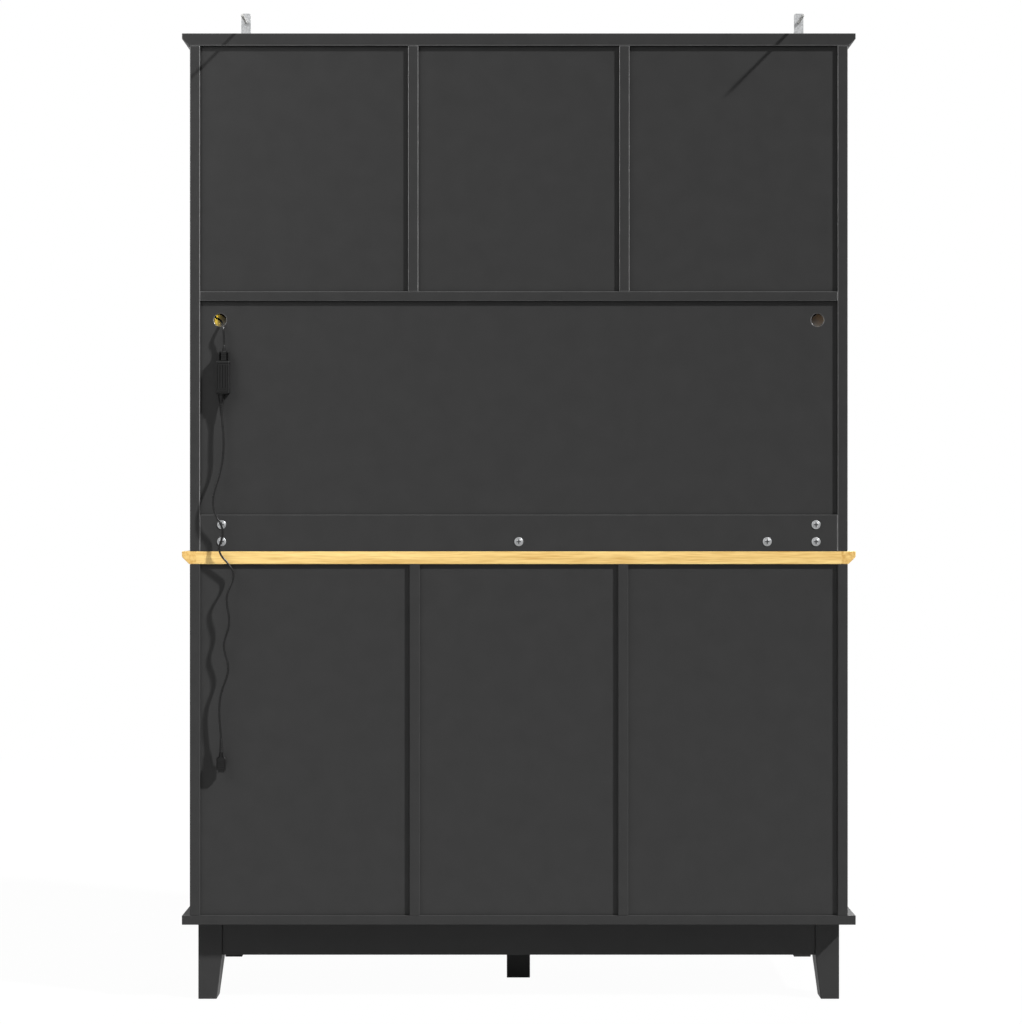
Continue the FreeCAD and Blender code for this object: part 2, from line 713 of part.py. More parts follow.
def make_anti_tip_set():
    """Two brackets on the crown, their screws, and the wall plugs on the wall screws."""
    brackets = []
    screws = []
    plugs = []
    for hand, x in BRACKETS.items():
        across = centred(x, "bracket_width")
        leg = ("rear - bracket_thickness", "rear")
        x0, x1 = across
        top = "crown_top + bracket_rise"
        plate_leg = pad(f"bracket_leg_{hand}", "XZ_Plane", "-rear",
                        [(x0, "crown_top"), (x1, "crown_top"), (x1, top), (x0, top)], "bracket_thickness")
        limit = plate_leg.Shape.BoundBox.ZMax - SMALL
        dress(plate_leg, "Fillet", "Radius", "bracket_round",
              lambda edge: edge.BoundBox.YLength > SMALL and edge.BoundBox.ZMin > limit)
        plate = join(f"bracket_{hand}", [
            box(f"bracket_foot_{hand}", across, ("rear - bracket_foot", "rear"),
                ("crown_top", "crown_top + bracket_thickness")),
            plate_leg,
        ])
        loose = "screw_radius + screw_clearance"
        brackets.append(cut(plate, [
            cylinder(f"bracket_wall_hole_{hand}", loose, "bracket_thickness", (x, leg[0], "bracket_hole"), "y"),
            bracket_screw(hand, x, loose, "foot_hole"),
        ]))
        screws.append(join(f"crown_screw_{hand}", [
            bracket_screw(hand, x, "screw_radius", "screw"),
            cylinder(f"crown_screw_head_{hand}", "screw_head_radius", "screw_head",
                     (x, "rear - bracket_foot / 2", "crown_top + bracket_thickness")),
        ]))
        screws.append(join(f"wall_screw_{hand}", [
            cylinder(f"wall_screw_shank_{hand}", "screw_radius", "bracket_thickness + wall_screw_reach",
                     (x, leg[0], "bracket_hole"), "y"),
            cylinder(f"wall_screw_head_{hand}", "screw_head_radius", "screw_head",
                     (x, f"{leg[0]} - screw_head", "bracket_hole"), "y"),
        ]))
        tip = doc.addObject("Part::Cone", f"wall_plug_tip_{hand}")
        tip.setExpression("Radius1", bind("wall_plug_radius"))
        tip.setExpression("Radius2", bind("wall_plug_tip_radius"))
        tip.setExpression("Height", bind("wall_plug_tip"))
        tip.Placement = Placement(Vector(), TURNS["y"])
        place(tip, (x, "rear + wall_plug_start + wall_plug_length", "bracket_hole"))
        sleeve = cylinder(f"wall_plug_sleeve_{hand}", "wall_plug_radius", "wall_plug_length",
                          (x, "rear + wall_plug_start", "bracket_hole"), "y")
        bore = cylinder(f"wall_plug_bore_{hand}", "screw_radius + pin_clearance",
                        "wall_screw_reach - wall_plug_start", (x, "rear + wall_plug_start", "bracket_hole"), "y")
        plugs.append(cut(join(f"wall_plug_{hand}", [sleeve, tip]), [bore]))
    node("anti_tip_brackets", *brackets)
    node("anti_tip_screws", *screws)
    node("wall_plugs", *plugs)


def make_niche_light():
    """Light channel under the deck with its strip and diffuser."""
    def lengthwise(end):
        return f"channel_left + {end}", f"channel_right - ({end})"

    bottom = "deck_bottom - channel_height"
    ceiling = "deck_bottom - channel_wall"
    clear = "channel_wall + diffuser_clearance"
    shell = box("channel_shell", lengthwise("0"), centred("channel_line", "channel_width"), (bottom, "deck_bottom"))
    hollow = box("channel_hollow", lengthwise("channel_wall"),
                 centred("channel_line", "(channel_width - 2 * channel_wall)"), (bottom, ceiling))
    node("light_channel", cut(shell, [hollow]))
    node("light_strip", box("strip_bar", lengthwise(clear), centred("channel_line", "strip_width"),
                            (f"{ceiling} - strip_thickness", ceiling)))
    node("light_diffuser", box("diffuser_bar", lengthwise(clear),
                               centred("channel_line", f"(channel_width - 2 * ({clear}))"),
                               (bottom, f"{bottom} + diffuser_thickness")))


def make_driver():
    """Lead connector and the driver that hang below the right cable hole."""
    x0, x1 = centred("connector_line", "connector_width")
    y0, y1 = centred("driver_line", "connector_depth")
    connector = pad("connector_shell", "XY_Plane", "driver_top", [(x0, y0), (x1, y0), (x1, y1), (x0, y1)],
                    "connector_height")
    dress(connector, "Fillet", "Radius", "connector_round", lambda edge: edge.BoundBox.ZLength > SMALL)
    node("lead_connector", connector)

    middle = "connector_line + driver_shift"
    x0, x1 = centred(middle, "driver_width")
    n0, n1 = centred("driver_neck_line", "driver_neck")
    face = "back_face + driver_depth"
    shell = pad("driver_shell", "XZ_Plane", f"-({face})", [
        (x0, "driver_top"), (x1, "driver_top"), (x1, "driver_bottom"), (n1, "driver_tip"), (n0, "driver_tip"),
        (x0, "driver_bottom"),
    ], "driver_depth")
    depth = (f"{face} - driver_slot_depth", face)
    collar = "driver_top - driver_collar"
    slots = [box("driver_collar_slot", (x0, x1), depth, (f"{collar} - driver_slot", collar))]
    for step in range(-2, 3):
        across = centred(f"{middle} + ({step}) * driver_slot_pitch", "driver_slot")
        slots.append(box(f"driver_slot_{step + 2}", across, depth,
                         ("driver_bottom", f"{collar} - 2 * driver_slot")))
    strain = cylinder("driver_strain_relief", "strain_radius", "strain_length",
                      ("driver_neck_line", "driver_line", "driver_tip - strain_length"))
    node("light_driver", join("driver_whole", [cut(shell, slots), strain]))


def make_cord(label, route):
    """Round cord along straight runs joined by tangent arcs."""
    path = [Vector(*point) for point in route]
    start = path[0]
    edges = []
    radii = []
    for before, corner, after in zip(path, path[1:], path[2:]):
        arrive = (corner - before).normalize()
        leave = (after - corner).normalize()
        half_turn = arrive.getAngle(leave) / 2
        reach = ARC_SHARE * min(before.distanceToPoint(corner), corner.distanceToPoint(after))
        radius = reach / math.tan(half_turn)
        first = corner - arrive * reach
        last = corner + leave * reach
        middle = corner + (leave - arrive).normalize() * (radius / math.cos(half_turn) - radius)
        edges.append(Part.LineSegment(start, first).toShape())
        edges.append(Part.Arc(first, middle, last).toShape())
        radii.append(radius)
        start = last
    edges.append(Part.LineSegment(start, path[-1]).toShape())
    spine = Part.Wire(edges)
    section = Part.Wire(Part.Circle(path[0], path[1] - path[0], sheet.cord_diameter / 2).toShape())
    tube = doc.addObject("Part::Feature", f"{label}_tube")
    tube.Shape = spine.makePipeShell([section], True, False)
    place(tube, ("cable_hole_offset", "back_face", "cable_hole_level"))
    plain = math.pi * sheet.cord_diameter ** 2 / 4 * spine.Length
    print(f"{label}: length {spine.Length:.1f}, least radius {min(radii):.1f}, "
          f"volume over section times length {tube.Shape.Volume / plain:.4f}")
    print(f"{label} radii:", " ".join(f"{radius:.0f}" for radius in radii))
    node(label, tube)


def make_plug():
    """Small plug at the end of the power cord."""
    dx, dy, dz = CORD_ROUTE[-1]
    spot = (f"cable_hole_offset + ({dx})", f"back_face + ({dy})", f"cable_hole_level + ({dz})")
    shoulder = "-plug_neck - plug_shoulder"
    end = f"{shoulder} - plug_body"
    neck = centred("0", "plug_neck_width")
    wide = centred("0", "plug_width")
    mould = pad("plug_mould", "XZ_Plane", "-plug_depth / 2", [
        (neck[0], "0"), (neck[1], "0"), (neck[1], "-plug_neck"), (wide[1], shoulder), (wide[1], end),
        (wide[0], end), (wide[0], shoulder), (neck[0], "-plug_neck"),
    ], "plug_depth")
    place(mould, spot)
    shell = box("plug_contact_shell", centred(spot[0], "plug_shell_width"), centred(spot[1], "plug_shell_depth"),
                (f"{spot[2]} {end} - plug_shell", f"{spot[2]} {end}"))
    node("power_plug", join("plug_whole", [mould, shell]))


make_stand()
make_walls()
make_shelves_and_backs()
make_rail()
make_top_boards()
make_doors()
make_anti_tip_set()
make_niche_light()
make_driver()
make_cord("light_lead", LEAD_ROUTE)
make_cord("power_cord", CORD_ROUTE)
make_plug()
doc.recompute()

failed = [item.Label for item in doc.Objects if {"Invalid", "Error"} & set(item.State)]
failed += [piece.Label for piece in nodes if piece.Shape.isNull() or not piece.Shape.isValid()]
if failed:
    raise RuntimeError(f"failed objects: {failed}")
os.makedirs("parts", exist_ok=True)
for piece in nodes:
    piece.Shape.exportStep(os.path.join("parts", f"{piece.Label}.step"))
print(f"{len(nodes)} sub-parts written")
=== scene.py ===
"""Scene of the bar armoire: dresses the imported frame, adds cords and hardware, and sets up the studio."""
from __future__ import annotations

import json
import logging
import math
from collections.abc import Callable, Iterable, Mapping, Sequence
from dataclasses import dataclass, field
from enum import Enum, IntEnum

import bmesh
import bpy
from mathutils import Matrix, Vector

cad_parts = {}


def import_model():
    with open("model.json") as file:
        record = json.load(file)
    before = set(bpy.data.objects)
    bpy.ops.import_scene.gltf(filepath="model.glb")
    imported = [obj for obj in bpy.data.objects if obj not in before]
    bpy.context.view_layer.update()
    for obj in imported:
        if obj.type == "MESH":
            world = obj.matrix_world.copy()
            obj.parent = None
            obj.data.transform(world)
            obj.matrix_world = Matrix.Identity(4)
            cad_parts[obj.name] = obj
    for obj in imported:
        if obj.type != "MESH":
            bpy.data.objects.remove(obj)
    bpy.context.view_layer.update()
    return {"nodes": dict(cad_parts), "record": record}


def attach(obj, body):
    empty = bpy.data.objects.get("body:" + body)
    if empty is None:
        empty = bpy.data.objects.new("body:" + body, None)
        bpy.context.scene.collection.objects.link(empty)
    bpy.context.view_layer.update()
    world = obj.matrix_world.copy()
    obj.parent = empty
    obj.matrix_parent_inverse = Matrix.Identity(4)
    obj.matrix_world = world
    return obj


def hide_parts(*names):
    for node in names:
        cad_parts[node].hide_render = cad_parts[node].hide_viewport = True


LOG = logging.getLogger("bar_armoire")
MM = 0.001
BODY = "cabinet"
QUARTER_TURN = math.pi / 2

Tree = bpy.types.NodeTree
Socket = bpy.types.NodeSocket
Thing = bpy.types.Object
Ends = tuple[bool, bool]
Pair = tuple[float, float]
Point = tuple[float, float, float]
Colour = tuple[float, float, float, float]
Radius = float | Callable[[float], float]
Outline = Sequence[tuple[Radius, float]]

WHITE: Colour = (1.0, 1.0, 1.0, 1.0)
# Number of the output of a mix node that carries a colour
MIXED_COLOUR = 2


def linear(code: str) -> Colour:
    """Turn an sRGB hex value into linear light.

    Args:
        code: A hash and six hex digits.

    Returns:
        Red, green, blue and an alpha of one.
    """
    shades = [int(code[place:place + 2], 16) / 255 for place in (1, 3, 5)]
    red, green, blue = (s / 12.92 if s <= 0.04045 else ((s + 0.055) / 1.055) ** 2.4 for s in shades)
    return red, green, blue, 1.0


def per_metre(size_mm: float) -> float:
    """Work out a texture's scale.

    Args:
        size_mm: About how wide one mark is.

    Returns:
        The scale at which marks come out that wide.
    """
    return 1.0 / (size_mm * MM)


def add_node(tree: Tree, kind: str, values: Mapping | None = None, links: Mapping | None = None,
             out: str | int = 0, **settings: object) -> Socket | None:
    """Add one node to a shader tree.

    Args:
        tree: The tree that takes the node.
        kind: Blender's name for the node, without the ShaderNode that starts it.
        values: Input sockets, by name or number, and the values set on them.
        links: Input sockets, by name or number, and the output sockets that feed them.
        out: The output socket that is asked for, by name or number.
        **settings: Properties of the node itself.

    Returns:
        That output socket, or None for a node that ends the tree.
    """
    node = tree.nodes.new(f"ShaderNode{kind}")
    for key, value in settings.items():
        setattr(node, key, value)
    for key, value in (values or {}).items():
        node.inputs[key].default_value = value
    for key, source in (links or {}).items():
        tree.links.new(source, node.inputs[key])
    return node.outputs[out] if node.outputs else None


class Mix(IntEnum):
    """Numbers of a mix node's inputs, whose names are the same for every kind of value."""

    SHARE = 0
    NUMBER_A = 2
    NUMBER_B = 3
    COLOUR_A = 6
    COLOUR_B = 7


class Lie(Enum):
    """Which way the marks of a finish run: drawn out along the cabinet's width, or not at all."""

    EVEN = (1.0, 1.0, 1.0)
    ALONG_X = (0.05, 1.0, 1.0)


@dataclass(frozen=True)
class Finish:
    """A surface with fine marks that shift its colour, gloss and relief."""

    name: str
    light: str
    dark: str
    mark_mm: float
    lie: Lie = Lie.EVEN
    rough: Pair = (0.4, 0.5)
    relief_mm: float = 0.01
    metallic: float = 0.0
    shine: float = 0.5

    NOISE_DETAIL = 3.0

    def material(self) -> bpy.types.Material:
        """Make the material once, or find it.

        Returns:
            The material that carries this finish.
        """
        made = bpy.data.materials.get(self.name)
        if made is None:
            made = bpy.data.materials.new(self.name)
            made.use_nodes = True
            tree = made.node_tree
            tree.nodes.clear()
            surface = self.surface(tree, add_node(tree, "TexCoord", out="Object"))
            add_node(tree, "OutputMaterial", links={"Surface": surface})
        return made

    def streaks(self, tree: Tree, place: Socket, size_mm: float, low: float = 0.3,
                high: float = 0.7) -> Socket:
        """Draw noise that runs the way the finish lies.

        Args:
            tree: The material's tree.
            place: Socket with the surface's coordinates.
            size_mm: Width of one mark.
            low: Noise level that becomes zero.
            high: Noise level that becomes one.

        Returns:
            Socket with a number from zero to one.
        """
        drawn = add_node(tree, "Mapping", {"Scale": self.lie.value}, {"Vector": place})
        noise = add_node(tree, "TexNoise", {"Scale": per_metre(size_mm), "Detail": self.NOISE_DETAIL},
                         {"Vector": drawn}, "Fac")
        return add_node(tree, "MapRange", {"From Min": low, "From Max": high}, {"Value": noise})

    def marks(self, tree: Tree, place: Socket) -> Socket:
        """Draw the finish's marks.

        Args:
            tree: The material's tree.
            place: Socket with the surface's coordinates.

        Returns:
            Socket with a number from zero, dark, to one, light.
        """
        return self.streaks(tree, place, self.mark_mm)

    def colour(self, tree: Tree, marks: Socket) -> Socket:
        """Shade the finish from dark to light.

        Args:
            tree: The material's tree.
            marks: Socket with the marks.

        Returns:
            Socket with the colour.
        """
        shades = {Mix.COLOUR_A: linear(self.dark), Mix.COLOUR_B: linear(self.light)}
        return add_node(tree, "Mix", shades, {Mix.SHARE: marks}, MIXED_COLOUR, data_type="RGBA")

    def surface(self, tree: Tree, place: Socket) -> Socket:
        """Build the shader of the finish.

        Args:
            tree: The material's tree.
            place: Socket with the surface's coordinates.

        Returns:
            The shader's output socket.
        """
        marks = self.marks(tree, place)
        gloss = add_node(tree, "MapRange", {"To Min": self.rough[0], "To Max": self.rough[1]},
                         {"Value": marks})
        relief = add_node(tree, "Bump", {"Distance": self.relief_mm * MM}, {"Height": marks})
        return add_node(
            tree, "BsdfPrincipled", {"Metallic": self.metallic, "Specular IOR Level": self.shine},
            {"Base Color": self.colour(tree, marks), "Roughness": gloss, "Normal": relief})


@dataclass(frozen=True)
class WoodFinish(Finish):
    """Clear-coated wood: broad growth bands with fine pores drawn out along the grain."""

    band_mm: float = 14.0
    pore_share: float = 0.5
    pore_range: Pair = (0.25, 0.6)

    def marks(self, tree: Tree, place: Socket) -> Socket:
        """Draw growth bands and pores, as Finish.marks does."""
        bands = self.streaks(tree, place, self.band_mm)
        pores = self.streaks(tree, place, self.mark_mm, *self.pore_range)
        return add_node(tree, "Mix", {Mix.SHARE: self.pore_share}, {Mix.NUMBER_A: bands, Mix.NUMBER_B: pores})


@dataclass(frozen=True)
class LippedWoodFinish(WoodFinish):
    """Wood with a lipping at each end, whose end grain shows as short blotches instead of long bands."""

    lip_mm: float = 608.0
    blotch_mm: float = 7.0
    blotch_detail: float = 4.0
    blotch_range: Pair = (0.32, 0.68)
    blotch_tone: Pair = (0.1, 0.7)

    def marks(self, tree: Tree, place: Socket) -> Socket:
        """Draw the boards' grain, and the lippings' end grain, as Finish.marks does."""
        grain = super().marks(tree, place)
        noise = add_node(tree, "TexNoise",
                         {"Scale": per_metre(self.blotch_mm), "Detail": self.blotch_detail},
                         {"Vector": place}, "Fac")
        blotches = add_node(tree, "MapRange", {
            "From Min": self.blotch_range[0], "From Max": self.blotch_range[1],
            "To Min": self.blotch_tone[0], "To Max": self.blotch_tone[1]}, {"Value": noise})
        across = add_node(tree, "SeparateXYZ", links={0: place}, out="X")
        reach = add_node(tree, "Math", links={0: across}, operation="ABSOLUTE")
        lipped = add_node(tree, "Math", {1: self.lip_mm * MM}, {0: reach}, operation="GREATER_THAN")
        return add_node(tree, "Mix", links={Mix.SHARE: lipped, Mix.NUMBER_A: grain, Mix.NUMBER_B: blotches})


@dataclass(frozen=True)
class GlassFinish(Finish):
    """Clear float glass under a faint, uneven film of dust, that lets lamp light through."""

    index: float = 1.25
    film: Pair = (0.005, 0.008)

    def surface(self, tree: Tree, place: Socket) -> Socket:
        """Build the glass and the film on it, as Finish.surface does."""
        film = add_node(tree, "MapRange", {"To Min": self.film[0], "To Max": self.film[1]},
                        {"Value": self.marks(tree, place)})
        glass = add_node(tree, "BsdfPrincipled", {
            "Base Color": linear(self.light), "Roughness": self.rough[0], "IOR": self.index,
            "Specular IOR Level": self.shine, "Transmission Weight": 1.0})
        haze = add_node(tree, "BsdfDiffuse", {"Color": linear(self.dark)})
        hazed = add_node(tree, "MixShader", links={0: film, 1: glass, 2: haze})
        clear = add_node(tree, "BsdfTransparent", {"Color": linear(self.light)})
        lamp = add_node(tree, "LightPath", out="Is Shadow Ray")
        return add_node(tree, "MixShader", links={0: lamp, 1: hazed, 2: clear})


@dataclass(frozen=True)
class LampFinish(Finish):
    """Frosted plastic lit from behind by a row of diodes."""

    glow: float = 4.0

    def surface(self, tree: Tree, place: Socket) -> Socket:
        """Build the lit plastic, as Finish.surface does."""
        colour = self.colour(tree, self.marks(tree, place))
        return add_node(
            tree, "BsdfPrincipled", {"Roughness": self.rough[0], "Emission Strength": self.glow},
            {"Base Color": colour, "Emission Color": colour})


@dataclass(frozen=True)
class BoardFinish(Finish):
    """Lacquer on a board, with the faces that look towards the floor painted near black and matt as shade."""

    # Near-black colour of the painted shade on faces that look towards the floor
    bare: str = "#0b0b0b"
    down: float = -0.8

    def surface(self, tree: Tree, place: Socket) -> Socket:
        """Build the lacquer and the painted shade on the underside, as Finish.surface does."""
        normal = add_node(tree, "NewGeometry", out="Normal")
        rise = add_node(tree, "SeparateXYZ", links={0: normal}, out="Z")
        under = add_node(tree, "Math", {1: self.down}, {0: rise}, operation="LESS_THAN")
        # Faces that look down are given this flat dark colour as painted shade
        dull = add_node(tree, "BsdfDiffuse", {"Color": linear(self.bare)})
        return add_node(tree, "MixShader", links={0: under, 1: super().surface(tree, place), 2: dull})


@dataclass(frozen=True)
class ArrisFinish(Finish):
    """Eased edges of a lacquered board: upright ones above a set level are glossier and painted paler as a
    highlight line, the others like the board.
    """

    upright: float = 0.35
    # Edges above this level get the paler colour of the painted highlight; lower ones stay like the board
    reach_mm: float = 850.0
    board: Finish | None = None

    def surface(self, tree: Tree, place: Socket) -> Socket:
        """Build both finishes and choose by the edge's tilt and its level, as Finish.surface does."""
        normal = add_node(tree, "NewGeometry", out="Normal")
        rise = add_node(tree, "SeparateXYZ", links={0: normal}, out="Z")
        tilt = add_node(tree, "Math", links={0: rise}, operation="ABSOLUTE")
        lying = add_node(tree, "Math", {1: self.upright}, {0: tilt}, operation="GREATER_THAN")
        level = add_node(tree, "SeparateXYZ", links={0: place}, out="Z")
        low = add_node(tree, "Math", {1: self.reach_mm * MM}, {0: level}, operation="LESS_THAN")
        plain = add_node(tree, "Math", links={0: lying, 1: low}, operation="MAXIMUM")
        return add_node(tree, "MixShader", links={
            0: plain, 1: super().surface(tree, place), 2: self.board.surface(tree, place)})


# Satin lacquer sprayed on fibreboard: near black, with a soft sheen and a faint mottle, and painted shade on
# the faces that look down
LACQUER = BoardFinish("satin black lacquer on fibreboard", "#313131", "#2f2f2f", 40.0, rough=(0.42, 0.48),
                      relief_mm=0.01, shine=0.07)
# The same lacquer where sanding eased the edges: smoother and glossier, with a paler colour that paints a
# highlight line along it
LACQUER_EDGE = ArrisFinish("satin black lacquer with painted edge highlight", "#646464", "#585858", 12.0,
                           rough=(0.2, 0.28), relief_mm=0.004, shine=0.6, board=LACQUER)
# Clear-lacquered natural wood, planed along the grain: pale gold, with long bands and fine darker pores
COUNTER_WOOD = LippedWoodFinish("clear lacquered pale oak", "#e6c883", "#b58942", 2.2, Lie.ALONG_X,
                                (0.38, 0.52), 0.03, shine=0.3)
# Zinc plated steel, pressed and tumbled: grey, with a faint mottle
ZINC = Finish("zinc plated steel", "#aaabac", "#929394", 3.0, rough=(0.45, 0.56), relief_mm=0.01,
              metallic=1.0)
# Zinc at the bottom of a recess: rougher, and painted darker as the shade that falls in it
ZINC_PAINTED_SHADE = Finish("zinc with painted recess shade", "#5b5c5d", "#454647", 1.5, rough=(0.5, 0.65), relief_mm=0.02,
                     metallic=0.6)
# Brass turned on a lathe and brushed: warm, with soft broad highlights
BRASS = Finish("brushed brass", "#cfae72", "#a98446", 0.8, Lie.ALONG_X, (0.28, 0.4), 0.008, metallic=1.0)
# Float glass: clear, with a thin film of dust; its low index keeps the white studio from veiling the shelves
GLASS = GlassFinish("clear float glass", "#eef5f2", "#e6efeb", 60.0, rough=(0.0, 0.0), shine=0.06)
# Moulded pale nylon: matt, faintly speckled
NYLON = Finish("moulded pale nylon", "#b9b9b7", "#a6a6a4", 1.5, rough=(0.5, 0.6), relief_mm=0.01, shine=0.4)
# Moulded black ABS with a fine spark texture, drawn coarser than it is so that it shows
ABS = Finish("moulded black ABS", "#121212", "#0d0d0d", 1.2, rough=(0.46, 0.56), relief_mm=0.012,
             shine=0.18)
# Steel shell around the plug's contacts: coloured dark, with a faint sheen of metal
SHELL = Finish("dark steel shell", "#161616", "#0f0f0f", 2.0, rough=(0.4, 0.5), relief_mm=0.004,
               metallic=0.5)
# Extruded black PVC jacket: smooth and soft, with a narrow highlight
JACKET = Finish("black PVC jacket", "#0b0b0b", "#080808", 2.0, rough=(0.25, 0.31), relief_mm=0.002,
                shine=0.28)
# Extruded aluminium, anodised: pale, with fine lines along the extrusion
ALUMINIUM = Finish("anodised aluminium", "#d6d7d9", "#bfc0c3", 0.8, Lie.ALONG_X, (0.3, 0.42), 0.006,
                   metallic=1.0)
# White solder mask of the diode strip: warm white and a little uneven
STRIP = Finish("white solder mask", "#ece8dc", "#dcd6c6", 3.0, rough=(0.4, 0.5), relief_mm=0.01)
# Frosted diffuser, warm from the diodes behind it, which show as soft spots
DIFFUSER = LampFinish("lit frosted acrylic", "#ffe39a", "#ffd680", 16.0, rough=(0.5, 0.5), glow=4.0)
# Thin frosted cap at the strip's end: yellower, because its last diodes shine straight through it
LIT_CAP = LampFinish("lit end cap", "#ffe38f", "#ffd877", 3.0, rough=(0.5, 0.5), glow=9.0)

SLOT_FINISH: dict[str, Finish] = {
    "black_lacquer": LACQUER, "counter_wood": COUNTER_WOOD, "zinc_steel": ZINC, "knob_brass": BRASS,
    "clear_glass": GLASS, "plug_plastic": NYLON, "black_plastic": ABS, "cord_black": JACKET,
    "channel_aluminium": ALUMINIUM, "strip_white": STRIP, "lit_diffuser": DIFFUSER,
}
EDGE_FINISH: dict[str, Finish] = {"black_lacquer": LACQUER_EDGE, "counter_wood": COUNTER_WOOD}


@dataclass
class Boards:
    """The frame's own nodes: they keep their shapes and get finishes and eased edges."""

    nodes: Mapping[str, Thing]
    slots: Mapping[str, str]
    ease_mm: float = 1.0
    ease_steps: int = 2
    seam_mm: float = 0.01
    flat_deg: float = 0.5
    sharp_deg: float = 35.0

    EDGE_MATERIAL = 1

    def dress(self) -> None:
        """Give every node its finish, and ease the edges of the boards."""
        for name, node in self.nodes.items():
            slot = self.slots[name]
            node.data.materials.clear()
            node.data.materials.append(SLOT_FINISH[slot].material())
            if slot in EDGE_FINISH:
                node.data.materials.append(EDGE_FINISH[slot].material())
                self.ease(node)
        LOG.info("dressed %d nodes of the frame", len(self.nodes))

    def ease(self, node: Thing) -> None:
        """Round a board's edges slightly, as a sanded and lacquered board has them.

        Args:
            node: The board, whose faces come apart at their edges and are joined first.
        """
        weld = node.modifiers.new("joined faces", "WELD")
        weld.merge_threshold = self.seam_mm * MM
        whole = node.modifiers.new("whole faces", "DECIMATE")
        whole.decimate_type = "DISSOLVE"
        whole.angle_limit = math.radians(self.flat_deg)
        edge = node.modifiers.new("eased edges", "BEVEL")
        edge.width = self.ease_mm * MM
        edge.segments = self.ease_steps
        edge.limit_method = "ANGLE"
        edge.angle_limit = math.radians(self.sharp_deg)
        edge.use_clamp_overlap = False
        edge.material = self.EDGE_MATERIAL
        node.modifiers.new("flat faces", "WEIGHTED_NORMAL").keep_sharp = False


# Routes in millimetres, as offsets from the centre of the right cable hole at the panel's rear face
CABLE_HOLE = (563.5, 196.0, 1287.0)
LEAD_LENGTH_MM = 232.6
CORD_LENGTH_MM = 681.7
LEAD_ROUTE = (
    (-0.5, -158, 30.8), (9, -130, 30.5), (22, -95, 27), (24, -60, 18), (14, -29, 8), (-2, -3, 0),
    (-8, 11, -16), (-9, 7.5, -38), (-9, 7.5, -60),
)
CORD_ROUTE = (
    (-3.5, 7.5, -155), (-3.5, 7.5, -175), (-6.5, 9.5, -200), (-8.5, 10.5, -225), (-8, 10, -249),
    (-5, 10, -273), (0.5, 12, -297), (9.5, 15, -325), (11.5, 16.2, -349), (5.5, 17, -370),
    (-4, 16, -384), (-8, 14.5, -399), (-5, 13.5, -415), (1, 12.5, -429), (-3, 11.5, -444),
    (-18, 10, -460), (-27.5, 8.5, -476), (-25.5, 9.5, -491), (-19, 12.5, -506), (-14, 14, -521),
    (-15.5, 13.5, -540), (-19.3, 12.8, -559), (-18.7, 12.5, -578), (-12.5, 12.2, -596), (-8.2, 12.2, -611),
    (-11, 12, -628), (-16.3, 11.6, -645), (-17.7, 11.4, -661), (-12, 11.4, -680), (-4, 11.3, -700),
    (-0.5, 11.2, -721), (-0.3, 11.2, -747), (-2.5, 11, -773), (-4.1, 11, -795), (-4.1, 11, -813.5),
)
# One rib of a sleeve and the groove after it: share of the rib's length, and share of the groove's depth
RIB_OUTLINE = ((0.0, 0.0), (0.55, 0.0), (0.65, 1.0), (0.95, 1.0))
SLEEVE_SIDES = 24


def aimed(place_mm: Point, way: Point) -> Matrix:
    """Set up axes at a spot.

    Args:
        place_mm: Where the axes start.
        way: Direction of their Z axis.

    Returns:
        Matrix from those axes to the cabinet's, in millimetres.
    """
    return Matrix.Translation(place_mm) @ Vector(way).to_track_quat("Z", "Y").to_matrix().to_4x4()


def circle(sides: int) -> list[float]:
    """Spread angles evenly around a full turn.

    Args:
        sides: How many.

    Returns:
        The angles, from zero.
    """
    return [math.tau * step / sides for step in range(sides)]


def point_along(line_mm: Sequence[Vector], distance_mm: float) -> Vector:
    """Find a point along a line.

    Args:
        line_mm: Points of the line, in order.
        distance_mm: How far to go from its start.

    Returns:
        The point, or the line's end if the line is too short.
    """
    for near, far in zip(line_mm, line_mm[1:]):
        run = (far - near).length
        if distance_mm <= run:
            return near.lerp(far, distance_mm / run)
        distance_mm -= run
    return line_mm[-1]


def sleeve(line_mm: Sequence[Vector], reach_mm: float, base_mm: float, tip_mm: float,
           ribs: int = 6, groove_mm: float = 0.4) -> list[list[Vector]]:
    """Lay the rings of a ribbed sleeve that tapers along the start of a cord's line.

    Args:
        line_mm: Points read from the cord's line, from the end that the sleeve holds.
        reach_mm: How far along the cord the sleeve goes.
        base_mm: Radius at the cord's end.
        tip_mm: Radius at the sleeve's thin end.
        ribs: Number of ribs.
        groove_mm: Depth of the grooves between them.

    Returns:
        The rings, level, in order.
    """
    outline = []
    for rib in range(ribs):
        for share, deep in RIB_OUTLINE:
            along = (rib + share) / ribs
            radius = base_mm + (tip_mm + groove_mm - base_mm) * along - deep * groove_mm
            outline.append((point_along(line_mm, reach_mm * along), radius))
    outline.append((point_along(line_mm, reach_mm), tip_mm))
    return [[centre + Vector((radius * math.cos(angle), radius * math.sin(angle), 0.0))
             for angle in circle(SLEEVE_SIDES)] for centre, radius in outline]


def off_arm(angle: float) -> float:
    """Measure an angle from the nearest of four arms, a quarter turn apart.

    Args:
        angle: Angle from the first arm.

    Returns:
        Angle from the nearest arm, never below zero.
    """
    return abs((angle + QUARTER_TURN / 2) % QUARTER_TURN - QUARTER_TURN / 2)


def crosshead(half_mm: float, reach_mm: float) -> Callable[[float], float]:
    """Outline a crosshead recess.

    Args:
        half_mm: Half the width of an arm.
        reach_mm: Length of an arm from the centre.

    Returns:
        Function that gives the outline's radius at an angle.
    """
    def radius(angle: float) -> float:
        """Radius of the cross at an angle from its first arm."""
        off = off_arm(angle)
        return reach_mm if math.sin(off) * reach_mm <= half_mm else half_mm / math.sin(off)
    return radius


